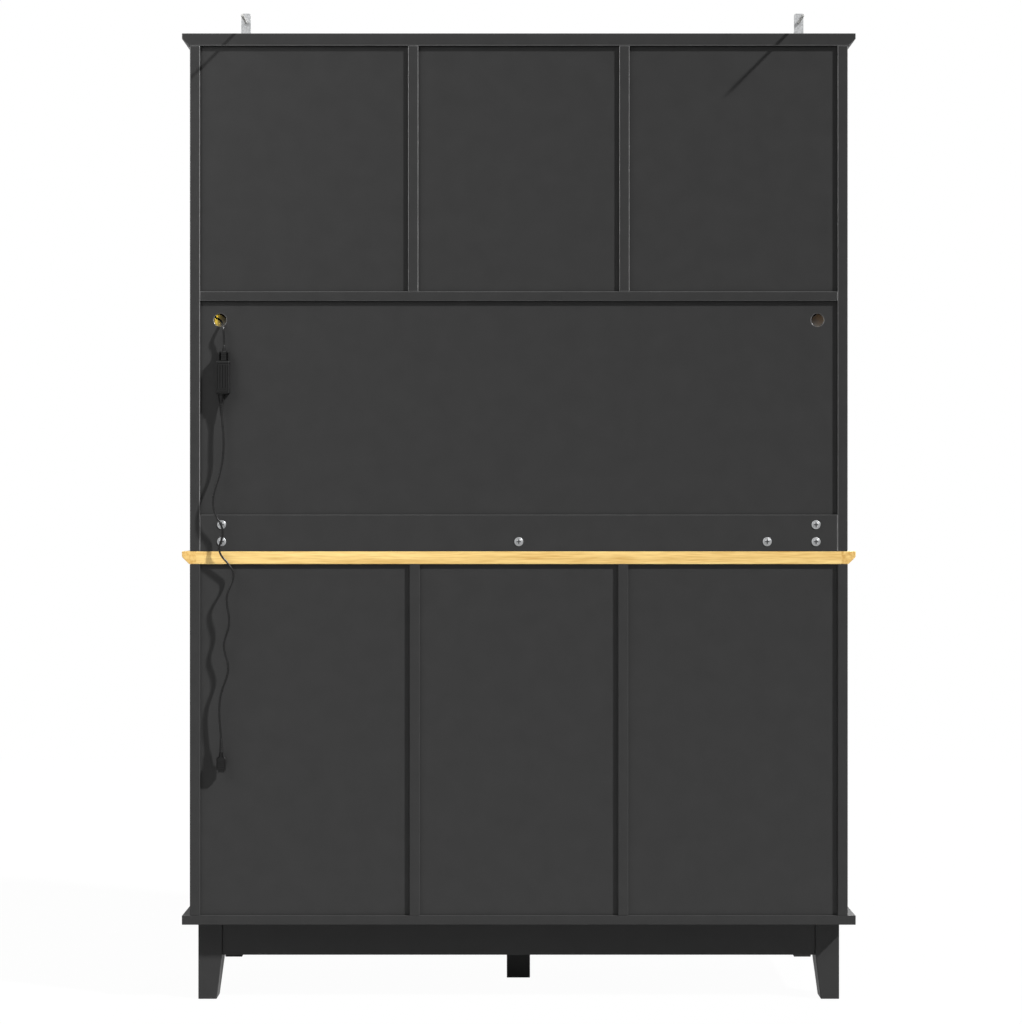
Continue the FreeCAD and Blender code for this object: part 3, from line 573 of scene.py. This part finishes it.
def split(radius_mm: float, core_mm: float, gap_mm: float) -> Callable[[float], float]:
    """Outline a plug that is slit into four fingers.

    Args:
        radius_mm: Radius of the fingers.
        core_mm: Radius at the bottom of a slit.
        gap_mm: Width of a slit.

    Returns:
        Function that gives the outline's radius at an angle.
    """
    def radius(angle: float) -> float:
        """Radius of the slit plug at an angle from its first slit."""
        return core_mm if off_arm(angle) * radius_mm < gap_mm / 2 else radius_mm
    return radius


def thread(start_mm: float, end_mm: float, core_mm: float, crest_mm: float, pitch_mm: float,
           steps: int = 6) -> list[tuple[Radius, float]]:
    """Outline a screw thread.

    Args:
        start_mm: Where the thread starts along the screw.
        end_mm: Where it ends.
        core_mm: Radius between the crests.
        crest_mm: Radius of the crests.
        pitch_mm: Distance from crest to crest.
        steps: Rings drawn per turn.

    Returns:
        Rings as pairs of a radius function and a place along the screw.
    """
    def ring(along: float) -> Callable[[float], float]:
        """Radius around the screw at one place along it."""
        def radius(angle: float) -> float:
            """Radius of the thread at an angle."""
            off = abs((along / pitch_mm - angle / math.tau) % 1.0 - 0.5) * 2
            return core_mm + (crest_mm - core_mm) * max(0.0, 1.0 - 2.0 * off)
        return radius
    count = max(2, round((end_mm - start_mm) / pitch_mm * steps))
    places = [start_mm + (end_mm - start_mm) * step / count for step in range(count + 1)]
    return [(ring(along), along) for along in places]


@dataclass(frozen=True)
class Section:
    """One cut across a moulded case: a rounded oblong, with slots in the face that looks to the rear."""

    along_mm: float
    width_mm: float
    depth_mm: float
    round_mm: float
    shift_mm: float = 0.0
    slot_mm: float = 0.0

    CORNER_STEPS = 4
    SLOTS = (-0.4, -0.2, 0.0, 0.2, 0.4)
    SLOT_HALF = 0.028

    def ring(self) -> list[Vector]:
        """Draw the outline.

        Returns:
            Points around the cut, always the same number of them.
        """
        half = Vector((self.width_mm / 2, self.depth_mm / 2))
        flat = []
        for quarter, (side, back) in enumerate(((1, 1), (-1, 1), (-1, -1), (1, -1))):
            for step in range(self.CORNER_STEPS + 1):
                angle = (quarter + step / self.CORNER_STEPS) * QUARTER_TURN
                flat.append((side * (half.x - self.round_mm) + self.round_mm * math.cos(angle),
                             back * (half.y - self.round_mm) + self.round_mm * math.sin(angle)))
            if quarter == 0:
                for share in reversed(self.SLOTS):
                    at, reach = share * self.width_mm, self.SLOT_HALF * self.width_mm
                    flat += [(at + reach, half.y), (at + reach, half.y - self.slot_mm),
                             (at - reach, half.y - self.slot_mm), (at - reach, half.y)]
        return [Vector((x + self.shift_mm, y, self.along_mm)) for x, y in flat]


@dataclass(frozen=True)
class Recess:
    """Crosshead recess: half an arm's width and an arm's reach, at its mouth and at its floor."""

    mouth_mm: Pair
    floor_mm: Pair
    top_mm: float
    bottom_mm: float


@dataclass
class Shape:
    """A mesh of closed rings, drawn in millimetres, with a finish for each run of rings."""

    name: str
    points: list[Vector] = field(default_factory=list)
    faces: list[tuple[int, ...]] = field(default_factory=list)
    looks: list[int] = field(default_factory=list)
    finishes: list[Finish] = field(default_factory=list)
    seam_mm: float = 0.001
    sharp_deg: float = 32.0

    def rings(self, rings: Sequence[Sequence[Vector]], finish: Finish,
              closed: Ends = (True, True)) -> None:
        """Join rings one after the other.

        Args:
            rings: Rings with the same number of points each.
            finish: What the new faces are covered with.
            closed: Whether the first and the last ring are filled.
        """
        if finish not in self.finishes:
            self.finishes.append(finish)
        first = len(self.points)
        count = len(rings[0])
        self.points += [point for ring in rings for point in ring]
        last = first + (len(rings) - 1) * count
        fresh: list[tuple[int, ...]] = []
        for near in range(first, last, count):
            far = near + count
            for step in range(count):
                after = (step + 1) % count
                fresh.append((near + step, near + after, far + after, far + step))
        fresh += [tuple(range(end, end + count)) for end, filled in zip((first, last), closed) if filled]
        self.faces += fresh
        self.looks += [self.finishes.index(finish)] * len(fresh)

    def turned(self, outline: Outline, axes: Matrix, finish: Finish,
               closed: Ends = (True, True), sides: int = 40) -> None:
        """Turn an outline around an axis.

        Args:
            outline: Radius, or a function that gives it at an angle, and place along the axis, ring by ring.
            axes: Axes whose Z is the one turned around.
            finish: What the new faces are covered with.
            closed: Whether the first and the last ring are filled.
            sides: Points around each ring.
        """
        rings = []
        for radius, along in outline:
            ring = []
            for angle in circle(sides):
                reach = radius(angle) if callable(radius) else radius
                ring.append(axes @ Vector((reach * math.cos(angle), reach * math.sin(angle), along)))
            rings.append(ring)
        self.rings(rings, finish, closed)

    def driven(self, outline: Outline, recess: Recess, axes: Matrix, sides: int) -> None:
        """Turn a zinc part with a crosshead recess in its end.

        Args:
            outline: Radius and place along the axis, ring by ring, up to the recess.
            recess: The recess.
            axes: Axes whose Z points out of the recess.
            sides: Points around each ring.
        """
        mouth = (crosshead(*recess.mouth_mm), recess.top_mm)
        floor = (crosshead(*recess.floor_mm), recess.bottom_mm)
        self.turned([*outline, mouth], axes, ZINC, (True, False), sides)
        # The recess is drawn in zinc painted darker as shade
        self.turned([mouth, floor], axes, ZINC_PAINTED_SHADE, (False, True), sides)

    def moulded(self, cuts: Iterable[Section], axes: Matrix, finish: Finish) -> None:
        """Mould a closed case from the cuts across it.

        Args:
            cuts: The cuts, in order.
            axes: Axes that the cuts are drawn in, with Z along the case.
            finish: What it is moulded from.
        """
        self.rings([[axes @ point for point in cut.ring()] for cut in cuts], finish)

    def stand(self, slot: str, node: str | None = None) -> Thing:
        """Make the mesh an object of the cabinet.

        Args:
            slot: The material slot that it belongs to; not used.
            node: The frame's node that it stands in for.

        Returns:
            The new object.
        """
        mesh = bpy.data.meshes.new(self.name)
        mesh.from_pydata([point * MM for point in self.points], [], self.faces)
        for finish in self.finishes:
            mesh.materials.append(finish.material())
        mesh.polygons.foreach_set("material_index", self.looks)
        joined = bmesh.new()
        joined.from_mesh(mesh)
        bmesh.ops.remove_doubles(joined, verts=joined.verts, dist=self.seam_mm * MM)
        bmesh.ops.recalc_face_normals(joined, faces=joined.faces)
        joined.to_mesh(mesh)
        joined.free()
        mesh.shade_smooth()
        mesh.set_sharp_from_angle(angle=math.radians(self.sharp_deg))
        piece = bpy.data.objects.new(self.name, mesh)
        bpy.context.scene.collection.objects.link(piece)
        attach(piece, BODY)
        if node:
            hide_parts(node)
        LOG.info("made %s", self.name)
        return piece


@dataclass
class CamLocks:
    """Cam locks of the hutch rail: zinc discs with a rim, a groove and a crosshead recess."""

    spots_mm: Sequence[Pair] = (
        (560.0, 869.0), (560.0, 901.0), (0.0, 869.0), (-468.0, 869.0), (-560.0, 869.0), (-560.0, 901.0))
    rear_mm: float = 200.0
    barrel_mm: Outline = ((7.5, -13.0), (7.5, 0.0))
    rim_mm: Outline = ((8.25, 0.0), (8.25, 0.4), (7.85, 0.8))
    groove_mm: Outline = ((6.7, 0.8), (6.4, 0.24), (5.9, 0.24), (5.6, 0.64), (5.3, 0.8))
    recess: Recess = Recess((1.1, 4.5), (0.9, 4.1), 0.8, -1.6)
    sides: int = 48

    def build(self) -> Thing:
        """Turn all the discs.

        Returns:
            One object with every disc.
        """
        shape = Shape("cam_lock_discs")
        disc = (*self.barrel_mm, *self.rim_mm, *self.groove_mm)
        for x, z in self.spots_mm:
            shape.driven(disc, self.recess, aimed((x, self.rear_mm, z), (0.0, 1.0, 0.0)), self.sides)
        return shape.stand("zinc_steel", "rail_cams")


@dataclass
class AntiTipSet:
    """Screws of the two anti-tip brackets, and the split plugs that wait on the wall screws."""

    brackets_mm: Sequence[float] = (-527.5, 514.0)
    hole_mm: float = 1847.6
    leg_mm: float = 198.0
    foot_line_mm: float = 185.0
    foot_mm: float = 1829.0
    reach_mm: float = 36.0
    depth_mm: float = 17.0
    point_mm: Outline = ((0.2, 0.0), (1.3, 2.5))
    head_mm: Outline = ((1.6, -2.0), (1.6, 0.0), (4.0, 0.0), (4.0, 0.5), (3.8, 1.2), (3.2, 1.9), (2.4, 2.4))
    recess: Recess = Recess((0.55, 2.0), (0.4, 1.2), 2.4, 0.9)
    screw_sides: int = 24
    plug_mm: float = 201.0
    collar_mm: Outline = ((2.1, 3.0), (2.1, 0.0), (3.0, 0.0), (3.0, 3.0), (2.7, 3.2))
    core_mm: float = 2.2
    slit_mm: float = 0.9
    first_rib_mm: float = 4.0
    ribs: int = 12
    rib_mm: float = 3.0
    plug_sides: int = 32

    # One rib of the plug: share of the rib's length, and radius of the fingers there
    RIB = ((0.0, 2.6), (0.7, 3.0), (0.95, 2.6))
    # The plug's tip: radius of the fingers, radius of the core, and place along the plug
    TIP = ((2.9, 2.2, 42.0), (2.5, 2.0, 45.5), (2.0, 2.0, 47.0))

    def build(self) -> None:
        """Make the screws and the plugs."""
        screws, plugs = Shape("anti_tip_screw_set"), Shape("split_wall_plugs")
        for x in self.brackets_mm:
            self.screw(screws, aimed((x, self.leg_mm, self.hole_mm), (0.0, -1.0, 0.0)), self.reach_mm)
            self.screw(screws, aimed((x, self.foot_line_mm, self.foot_mm), (0.0, 0.0, 1.0)), self.depth_mm)
            self.plug(plugs, aimed((x, self.plug_mm, self.hole_mm), (0.0, 1.0, 0.0)))
        screws.stand("zinc_steel", "anti_tip_screws")
        plugs.stand("plug_plastic", "wall_plugs")

    def screw(self, shape: Shape, axes: Matrix, length_mm: float) -> None:
        """Turn one crosshead screw with a pan head.

        Args:
            shape: The mesh that takes it.
            axes: Axes at the underside of the head, with Z towards the driver.
            length_mm: Length below the head.
        """
        point = [(radius, along - length_mm) for radius, along in self.point_mm]
        turns = thread(start_mm=3.0 - length_mm, end_mm=-2.5, core_mm=1.45, crest_mm=2.0, pitch_mm=1.6)
        shape.driven((*point, *turns, *self.head_mm), self.recess, axes, self.screw_sides)

    def plug(self, shape: Shape, axes: Matrix) -> None:
        """Mould one plug with barbed fingers, slit behind its collar.

        Args:
            shape: The mesh that takes it.
            axes: Axes at the plug's open end, with Z into the wall.
        """
        outline: list[tuple[Radius, float]] = list(self.collar_mm)
        for rib in range(self.ribs):
            start = self.first_rib_mm + rib * self.rib_mm
            outline += [(split(finger, self.core_mm, self.slit_mm), start + share * self.rib_mm)
                        for share, finger in self.RIB]
        outline += [(split(finger, core, self.slit_mm), along) for finger, core, along in self.TIP]
        shape.turned(outline, axes, NYLON, sides=self.plug_sides)


@dataclass
class LightCaps:
    """Caps at the two ends of the light channel: a lit one by the lead, and a plain one at the other end."""

    ends_mm: Pair = (570.0, -500.0)
    middle_mm: Pair = (30.0, 1317.8)
    size_mm: Pair = (16.0, 10.0)
    thick_mm: float = 2.6
    round_mm: float = 1.6

    # Steps of a cap's face: share of its thickness, and how much narrower it is there in millimetres
    STEPS = ((0.0, 0.0), (0.6, 0.0), (0.75, 0.6), (0.8, 2.0), (0.95, 2.2), (1.0, 3.0))

    def build(self) -> None:
        """Mould both caps."""
        lit_end, plain_end = self.ends_mm
        self.cap("lit_channel_cap", (lit_end, *self.middle_mm), 1.0, LIT_CAP, "lit_diffuser")
        self.cap("plain_channel_cap", (plain_end, *self.middle_mm), -1.0, STRIP, "strip_white")

    def cap(self, name: str, place_mm: Point, side: float, finish: Finish, slot: str) -> None:
        """Mould one cap, with a stepped face.

        Args:
            name: The cap's name.
            place_mm: Middle of the channel's end.
            side: Which way along X the cap faces.
            finish: What it is moulded from.
            slot: The record's material slot.
        """
        wide, high = self.size_mm
        steps = [Section(share * self.thick_mm, wide - inset, high - inset, self.round_mm)
                 for share, inset in self.STEPS]
        shape = Shape(name)
        shape.moulded(steps, aimed(place_mm, (side, 0.0, 0.0)), finish)
        shape.stand(slot)


@dataclass
class LightDriver:
    """Black driver that hangs below the right cable hole, with the lead's connector pushed into its top.

    The case's oblongs are given as width, depth and corner radius.
    """

    line_mm: Pair = (554.5, 203.5)
    top_mm: float = 1209.0
    mouth_mm: Point = (24.0, 14.2, 1.6)
    case_mm: Point = (25.0, 15.0, 2.0)
    groove_mm: Point = (23.4, 13.8, 1.6)
    joint_mm: Point = (24.2, 14.2, 1.6)
    slot_mm: float = 1.0
    case_shift_mm: float = 1.8
    neck_shift_mm: float = 5.5
    seam_mm: float = 54.0
    relief_mm: float = 26.0
    relief_ends_mm: Pair = (4.4, 2.05)
    grip_ribs: int = 4

    def axes(self) -> Matrix:
        """Set up axes at the middle of the driver's top.

        Returns:
            Matrix from those axes to the cabinet's, in millimetres.
        """
        return Matrix.Translation((*self.line_mm, self.top_mm))

    def build(self) -> tuple[Thing, Thing]:
        """Mould both pieces.

        Returns:
            The connector and the driver.
        """
        connector, case = Shape("lead_connector_shell"), Shape("light_driver_case")
        rib_steps = ((0.0, 0.0), (2.1, 0.0), (2.4, 1.0), (2.9, 1.0))
        grip = [Section(2.5 + rib * 3.2 + along, 18.5 - inset, 13.0 - inset, 4.0)
                for rib in range(self.grip_ribs) for along, inset in rib_steps]
        body = [Section(0.0, 15.0, 9.6, 3.0), Section(0.9, 15.0, 9.6, 3.0), Section(1.1, 17.9, 12.4, 3.8),
                Section(1.5, 18.5, 13.0, 4.0), *grip, Section(15.6, 18.5, 13.0, 4.0),
                Section(17.0, 18.0, 12.6, 4.0), Section(18.0, 15.0, 10.4, 4.0)]
        connector.moulded(body, self.axes(), ABS)
        boot = [(4.6, 17.5), (4.3, 19.0), (3.7, 19.3), (3.8, 21.5), (3.2, 21.8), (3.3, 24.0), (2.8, 24.3),
                (2.8, 27.0), (2.4, 30.0), (2.0, 30.5)]
        connector.turned(boot, self.axes(), ABS, sides=SLEEVE_SIDES)
        case.moulded(self.sections(), self.axes(), ABS)
        return connector.stand("black_plastic", "lead_connector"), case.stand("black_plastic", "light_driver")

    def sections(self) -> list[Section]:
        """List the cuts across the driver's case, from its collar down to the seam of its end cap.

        Returns:
            The cuts.
        """
        full, groove, slot, seam = self.case_mm, self.groove_mm, self.slot_mm, -self.seam_mm
        cuts = [
            (0.0, self.mouth_mm, 0.0), (-0.8, full, 0.0), (-4.2, full, 0.0), (-4.5, groove, 0.0),
            (-5.9, groove, 0.0), (-6.2, full, 0.0), (-7.6, full, 0.0), (-7.7, full, slot),
            (seam + 2.1, full, slot), (seam + 2.0, full, 0.0), (seam + 0.4, full, 0.0),
            (seam, self.joint_mm, 0.0),
        ]
        return [Section(along, *oblong, self.case_shift_mm, deep) for along, oblong, deep in cuts]

    def end_cap(self, line_mm: Sequence[Vector]) -> Thing:
        """Mould the cap of the driver's lower end, with the ribbed relief around the start of its cord.

        Args:
            line_mm: Points along the power cord, from the driver.

        Returns:
            The cap.
        """
        shape = Shape("driver_end_cap")
        mid, neck, seam = self.case_shift_mm, self.neck_shift_mm, -self.seam_mm
        cap = [Section(seam, *self.joint_mm, mid), Section(seam - 0.4, *self.case_mm, mid),
               Section(-60.4, *self.case_mm, mid), Section(-62.2, 23.0, 13.0, 2.4, mid),
               Section(-62.4, 12.4, 11.4, 3.0, neck - 0.4), Section(-64.0, 11.0, 10.8, 3.4, neck),
               Section(-77.5, 9.4, 9.2, 4.0, neck)]
        shape.moulded(cap, self.axes(), ABS)
        shape.rings(sleeve(line_mm, self.relief_mm, *self.relief_ends_mm), ABS)
        return shape.stand("black_plastic", "light_driver")


@dataclass
class PowerPlug:
    """Small moulded plug at the end of the power cord, with a metal-edged contact shell."""

    grip_ribs: int = 4
    relief_mm: float = 26.0
    relief_ends_mm: Pair = (3.8, 2.05)

    def build(self, line_mm: Sequence[Vector]) -> Thing:
        """Mould the plug and the relief around the end of its cord.

        Args:
            line_mm: Points along the power cord, from the plug.

        Returns:
            The plug.
        """
        shape = Shape("power_plug_mould")
        axes = Matrix.Translation(line_mm[0])
        rib_steps = ((0.0, 0.0), (2.4, 0.0), (2.6, 0.7), (3.4, 0.7))
        ribs = [Section(-15.0 - 3.6 * rib - along, 18.0 - inset, 8.0 - inset, 1.8)
                for rib in range(self.grip_ribs) for along, inset in rib_steps]
        body = [Section(-0.5, 7.4, 7.0, 3.0), Section(-1.2, 8.0, 7.6, 3.2), Section(-7.5, 8.6, 8.0, 3.0),
                Section(-10.8, 16.8, 8.0, 2.2), Section(-12.0, 18.0, 8.0, 1.8), *ribs,
                Section(-32.0, 18.0, 8.0, 1.8), Section(-33.0, 17.4, 7.4, 1.8),
                Section(-33.4, 15.8, 6.4, 1.6)]
        shape.moulded(body, axes, ABS)
        shell = [Section(-33.2, 12.0, 4.5, 1.0), Section(-37.4, 12.0, 4.5, 1.0),
                 Section(-38.0, 11.4, 3.9, 0.8), Section(-38.0, 10.2, 2.9, 0.5),
                 Section(-34.5, 10.0, 2.7, 0.5)]
        shape.moulded(shell, axes, SHELL)
        shape.rings(sleeve(line_mm, self.relief_mm, *self.relief_ends_mm), ABS)
        return shape.stand("black_plastic", "power_plug")


class FarEnd(Enum):
    """What a cord ends in."""

    PLUG = "plug"
    CONNECTOR = "connector"


@dataclass
class Cord:
    """A free cord on a smooth line that is drawn by its route."""

    name: str
    node: str
    route_mm: Sequence[Point]
    origin_mm: Point
    length_mm: float
    far_end: FarEnd
    diameter_mm: float = 3.8

    TUBE_STEPS = 5
    LINE_STEPS = 10
    LINE_ORDER = 3

    def curve(self, thick_mm: float) -> Thing:
        """Draw the cord's line as a smooth curve, with the route as its control points.

        Args:
            thick_mm: Thickness of the tube around the line.

        Returns:
            The curve object, not yet in the scene.
        """
        curve = bpy.data.curves.new(self.name, "CURVE")
        curve.dimensions = "3D"
        curve.bevel_depth = thick_mm / 2 * MM
        curve.bevel_resolution = self.TUBE_STEPS
        curve.resolution_u = self.LINE_STEPS
        curve.use_fill_caps = True
        line = curve.splines.new("NURBS")
        line.points.add(len(self.route_mm) - 1)
        for knot, point in zip(line.points, self.route_mm):
            knot.co = (*(Vector(point) + Vector(self.origin_mm)) * MM, 1.0)
        line.order_u = self.LINE_ORDER
        line.use_endpoint_u = True
        line.use_smooth = True
        return bpy.data.objects.new(self.name, curve)

    def line(self) -> list[Vector]:
        """Read points along the cord's smooth line.

        Returns:
            The points, in millimetres, from the cord's start.
        """
        bare = self.curve(0.0)
        mesh = bpy.data.meshes.new_from_object(bare)
        points = [vertex.co / MM for vertex in mesh.vertices]
        bpy.data.meshes.remove(mesh)
        bpy.data.curves.remove(bare.data)
        return points

    def build(self, with_pieces: Sequence[Thing]) -> Thing:
        """Lay the cord, in place of its node.

        Args:
            with_pieces: What the cord carries; not used.

        Returns:
            The cord's curve object.
        """
        cord = self.curve(self.diameter_mm)
        bpy.context.scene.collection.objects.link(cord)
        cord.data.materials.append(JACKET.material())
        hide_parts(self.node)
        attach(cord, BODY)
        LOG.info("laid %s", self.name)
        return cord


@dataclass
class Studio:
    """Plain white studio with a low sun, a front fill, a softbox, the light strip's own light and the camera.

    The sun stands behind the cabinet, on the side that the photograph shows. Places are in metres.
    """

    eye: Point = (0.0147, 3.466, 0.925)
    lens_mm: float = 60.94
    sensor_mm: float = 36.0
    sun_way: Point = (2.57, -1.0, -2.57)
    sun_power: float = 8.9
    sun_deg: float = 2.5
    fill_way: Point = (0.3, 0.8, -0.5)
    fill_power: float = 2.3
    fill_deg: float = 4.0
    ambient: float = 0.06
    floor_half: float = 3.0
    floor_grey: str = "#b4b4b4"
    floor_white: float = 0.975
    matt_depth: float = 0.5
    softbox_at: Point = (1.9, 1.1, 2.6)
    softbox_aim: Point = (0.0, 0.2, 1.2)
    softbox_power: float = 45.0
    softbox_size: Pair = (1.2, 1.8)
    strip_ends: tuple[tuple[float, float, str], ...] = ((0.5735, 0.46, "#ffd83c"), (-0.5035, 0.14, "#ffb21a"))
    strip_line: Pair = (0.03, 1.314)
    strip_aim: Point = (0.601, -0.03, 1.309)
    strip_size: Pair = (0.012, 0.006)
    strip_span: Pair = (1.04, 0.008)
    strip_under: Point = (0.035, 0.03, 1.305)
    strip_power: float = 2.6

    def build(self) -> None:
        """Set up the world, the floor, the lamps and the camera."""
        scene = bpy.context.scene
        scene.view_settings.view_transform = "Standard"
        self.world(scene)
        self.floor()
        self.lamp("sun", self.sun_way, self.sun_power, self.sun_deg)
        self.lamp("front fill", self.fill_way, self.fill_power, self.fill_deg)
        self.panel_lamp("softbox", self.softbox_at, self.softbox_aim, self.softbox_power, self.softbox_size)
        for x, power, colour in self.strip_ends:
            aim = (math.copysign(self.strip_aim[0], x), *self.strip_aim[1:])
            end = self.panel_lamp("strip end", (x, *self.strip_line), aim, power, self.strip_size)
            end.color = linear(colour)[:3]
        below = (*self.strip_under[:2], 0.0)
        strip = self.panel_lamp("strip", self.strip_under, below, self.strip_power, self.strip_span)
        strip.color = linear(DIFFUSER.light)[:3]
        self.camera(scene)
        LOG.info("studio is set")

    def seen(self, tree: Tree) -> Socket:
        """Tell the rays that look at the studio from those that only light it.

        Args:
            tree: The tree that asks.

        Returns:
            Socket that is one for camera, glossy and transmission rays that met no matt surface before.
        """
        looks = add_node(tree, "LightPath", out="Is Camera Ray")
        for kind in ("Is Glossy Ray", "Is Transmission Ray"):
            ray = add_node(tree, "LightPath", out=kind)
            looks = add_node(tree, "Math", links={0: looks, 1: ray}, operation="MAXIMUM")
        depth = add_node(tree, "LightPath", out="Diffuse Depth")
        straight = add_node(tree, "Math", {1: self.matt_depth}, {0: depth}, operation="LESS_THAN")
        return add_node(tree, "Math", links={0: looks, 1: straight}, operation="MULTIPLY")

    def world(self, scene: bpy.types.Scene) -> None:
        """White to look at, dimmer as a light.

        Args:
            scene: The scene that gets the world.
        """
        scene.world = bpy.data.worlds.new("white studio")
        scene.world.use_nodes = True
        tree = scene.world.node_tree
        tree.nodes.clear()
        level = add_node(tree, "MapRange", {"To Min": self.ambient, "To Max": 1.0},
                         {"Value": self.seen(tree)})
        sky = add_node(tree, "Background", {"Color": WHITE}, {"Strength": level})
        add_node(tree, "OutputWorld", links={"Surface": sky})

    def floor(self) -> None:
        """Pale floor that nearly melts into the background and keeps the cabinet's shadow."""
        mesh = bpy.data.meshes.new("studio floor")
        half = self.floor_half
        corners = [(-half, -half, 0.0), (half, -half, 0.0), (half, half, 0.0), (-half, half, 0.0)]
        mesh.from_pydata(corners, [], [(0, 1, 2, 3)])
        plate = bpy.data.objects.new("studio_floor", mesh)
        bpy.context.scene.collection.objects.link(plate)
        finish = bpy.data.materials.new("pale studio floor")
        finish.use_nodes = True
        tree = finish.node_tree
        tree.nodes.clear()
        paint = add_node(tree, "BsdfDiffuse", {"Color": linear(self.floor_grey)})
        white = add_node(tree, "Emission", {"Color": WHITE, "Strength": 1.0})
        share = add_node(tree, "MapRange", {"To Min": 0.0, "To Max": self.floor_white},
                         {"Value": self.seen(tree)})
        mixed = add_node(tree, "MixShader", links={0: share, 1: paint, 2: white})
        add_node(tree, "OutputMaterial", links={"Surface": mixed})
        mesh.materials.append(finish)

    def lamp(self, name: str, way: Point, power: float, spread_deg: float) -> None:
        """Hang one far lamp.

        Args:
            name: The lamp's name.
            way: Direction in which its light travels.
            power: Strength on a surface that faces it.
            spread_deg: How wide it looks, which softens its shadows.
        """
        light = bpy.data.lights.new(name, "SUN")
        light.energy = power
        light.angle = math.radians(spread_deg)
        lamp = bpy.data.objects.new(name, light)
        lamp.rotation_euler = Vector(way).to_track_quat("-Z", "Y").to_euler()
        lamp.visible_transmission = False
        bpy.context.scene.collection.objects.link(lamp)

    def panel_lamp(self, name: str, place: Point, aim: Point, power: float,
                   size: Pair) -> bpy.types.AreaLight:
        """Stand one oblong lamp, turned to a spot.

        Args:
            name: The lamp's name.
            place: Where it stands.
            aim: Spot that it faces.
            power: Its power in watts.
            size: Its width and height.

        Returns:
            The lamp's light.
        """
        light = bpy.data.lights.new(name, "AREA")
        light.shape = "RECTANGLE"
        light.size, light.size_y = size
        light.energy = power
        lamp = bpy.data.objects.new(name, light)
        lamp.location = place
        lamp.rotation_euler = (Vector(aim) - Vector(place)).to_track_quat("-Z", "Y").to_euler()
        lamp.visible_camera = False
        lamp.visible_transmission = False
        bpy.context.scene.collection.objects.link(lamp)
        return light

    def camera(self, scene: bpy.types.Scene) -> None:
        """Stand the camera behind the cabinet, looking level along -Y.

        Args:
            scene: The scene that looks through it.
        """
        view = bpy.data.cameras.new("photograph")
        view.lens = self.lens_mm
        view.sensor_width = self.sensor_mm
        camera = bpy.data.objects.new("photograph", view)
        camera.location = self.eye
        camera.rotation_euler = (math.radians(90.0), 0.0, math.radians(180.0))
        scene.collection.objects.link(camera)
        scene.camera = camera


def main() -> None:
    """Build the scene, piece by piece."""
    logging.basicConfig(level=logging.INFO, format="%(message)s")
    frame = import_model()
    nodes = frame["nodes"]
    slots = {part["node"]: part["material_slot"] for part in frame["record"]["subparts"]}
    Boards(nodes, slots).dress()
    CamLocks().build()
    AntiTipSet().build()
    LightCaps().build()
    driver = LightDriver()
    lead = Cord("light_lead_cable", "light_lead", LEAD_ROUTE, CABLE_HOLE, LEAD_LENGTH_MM, FarEnd.CONNECTOR)
    lead.build(driver.build())
    power = Cord("power_cable", "power_cord", CORD_ROUTE, CABLE_HOLE, CORD_LENGTH_MM, FarEnd.PLUG)
    line = power.line()
    power.build([driver.end_cap(line), PowerPlug().build(line[::-1])])
    Studio().build()


if __name__ == "__main__":
    main()
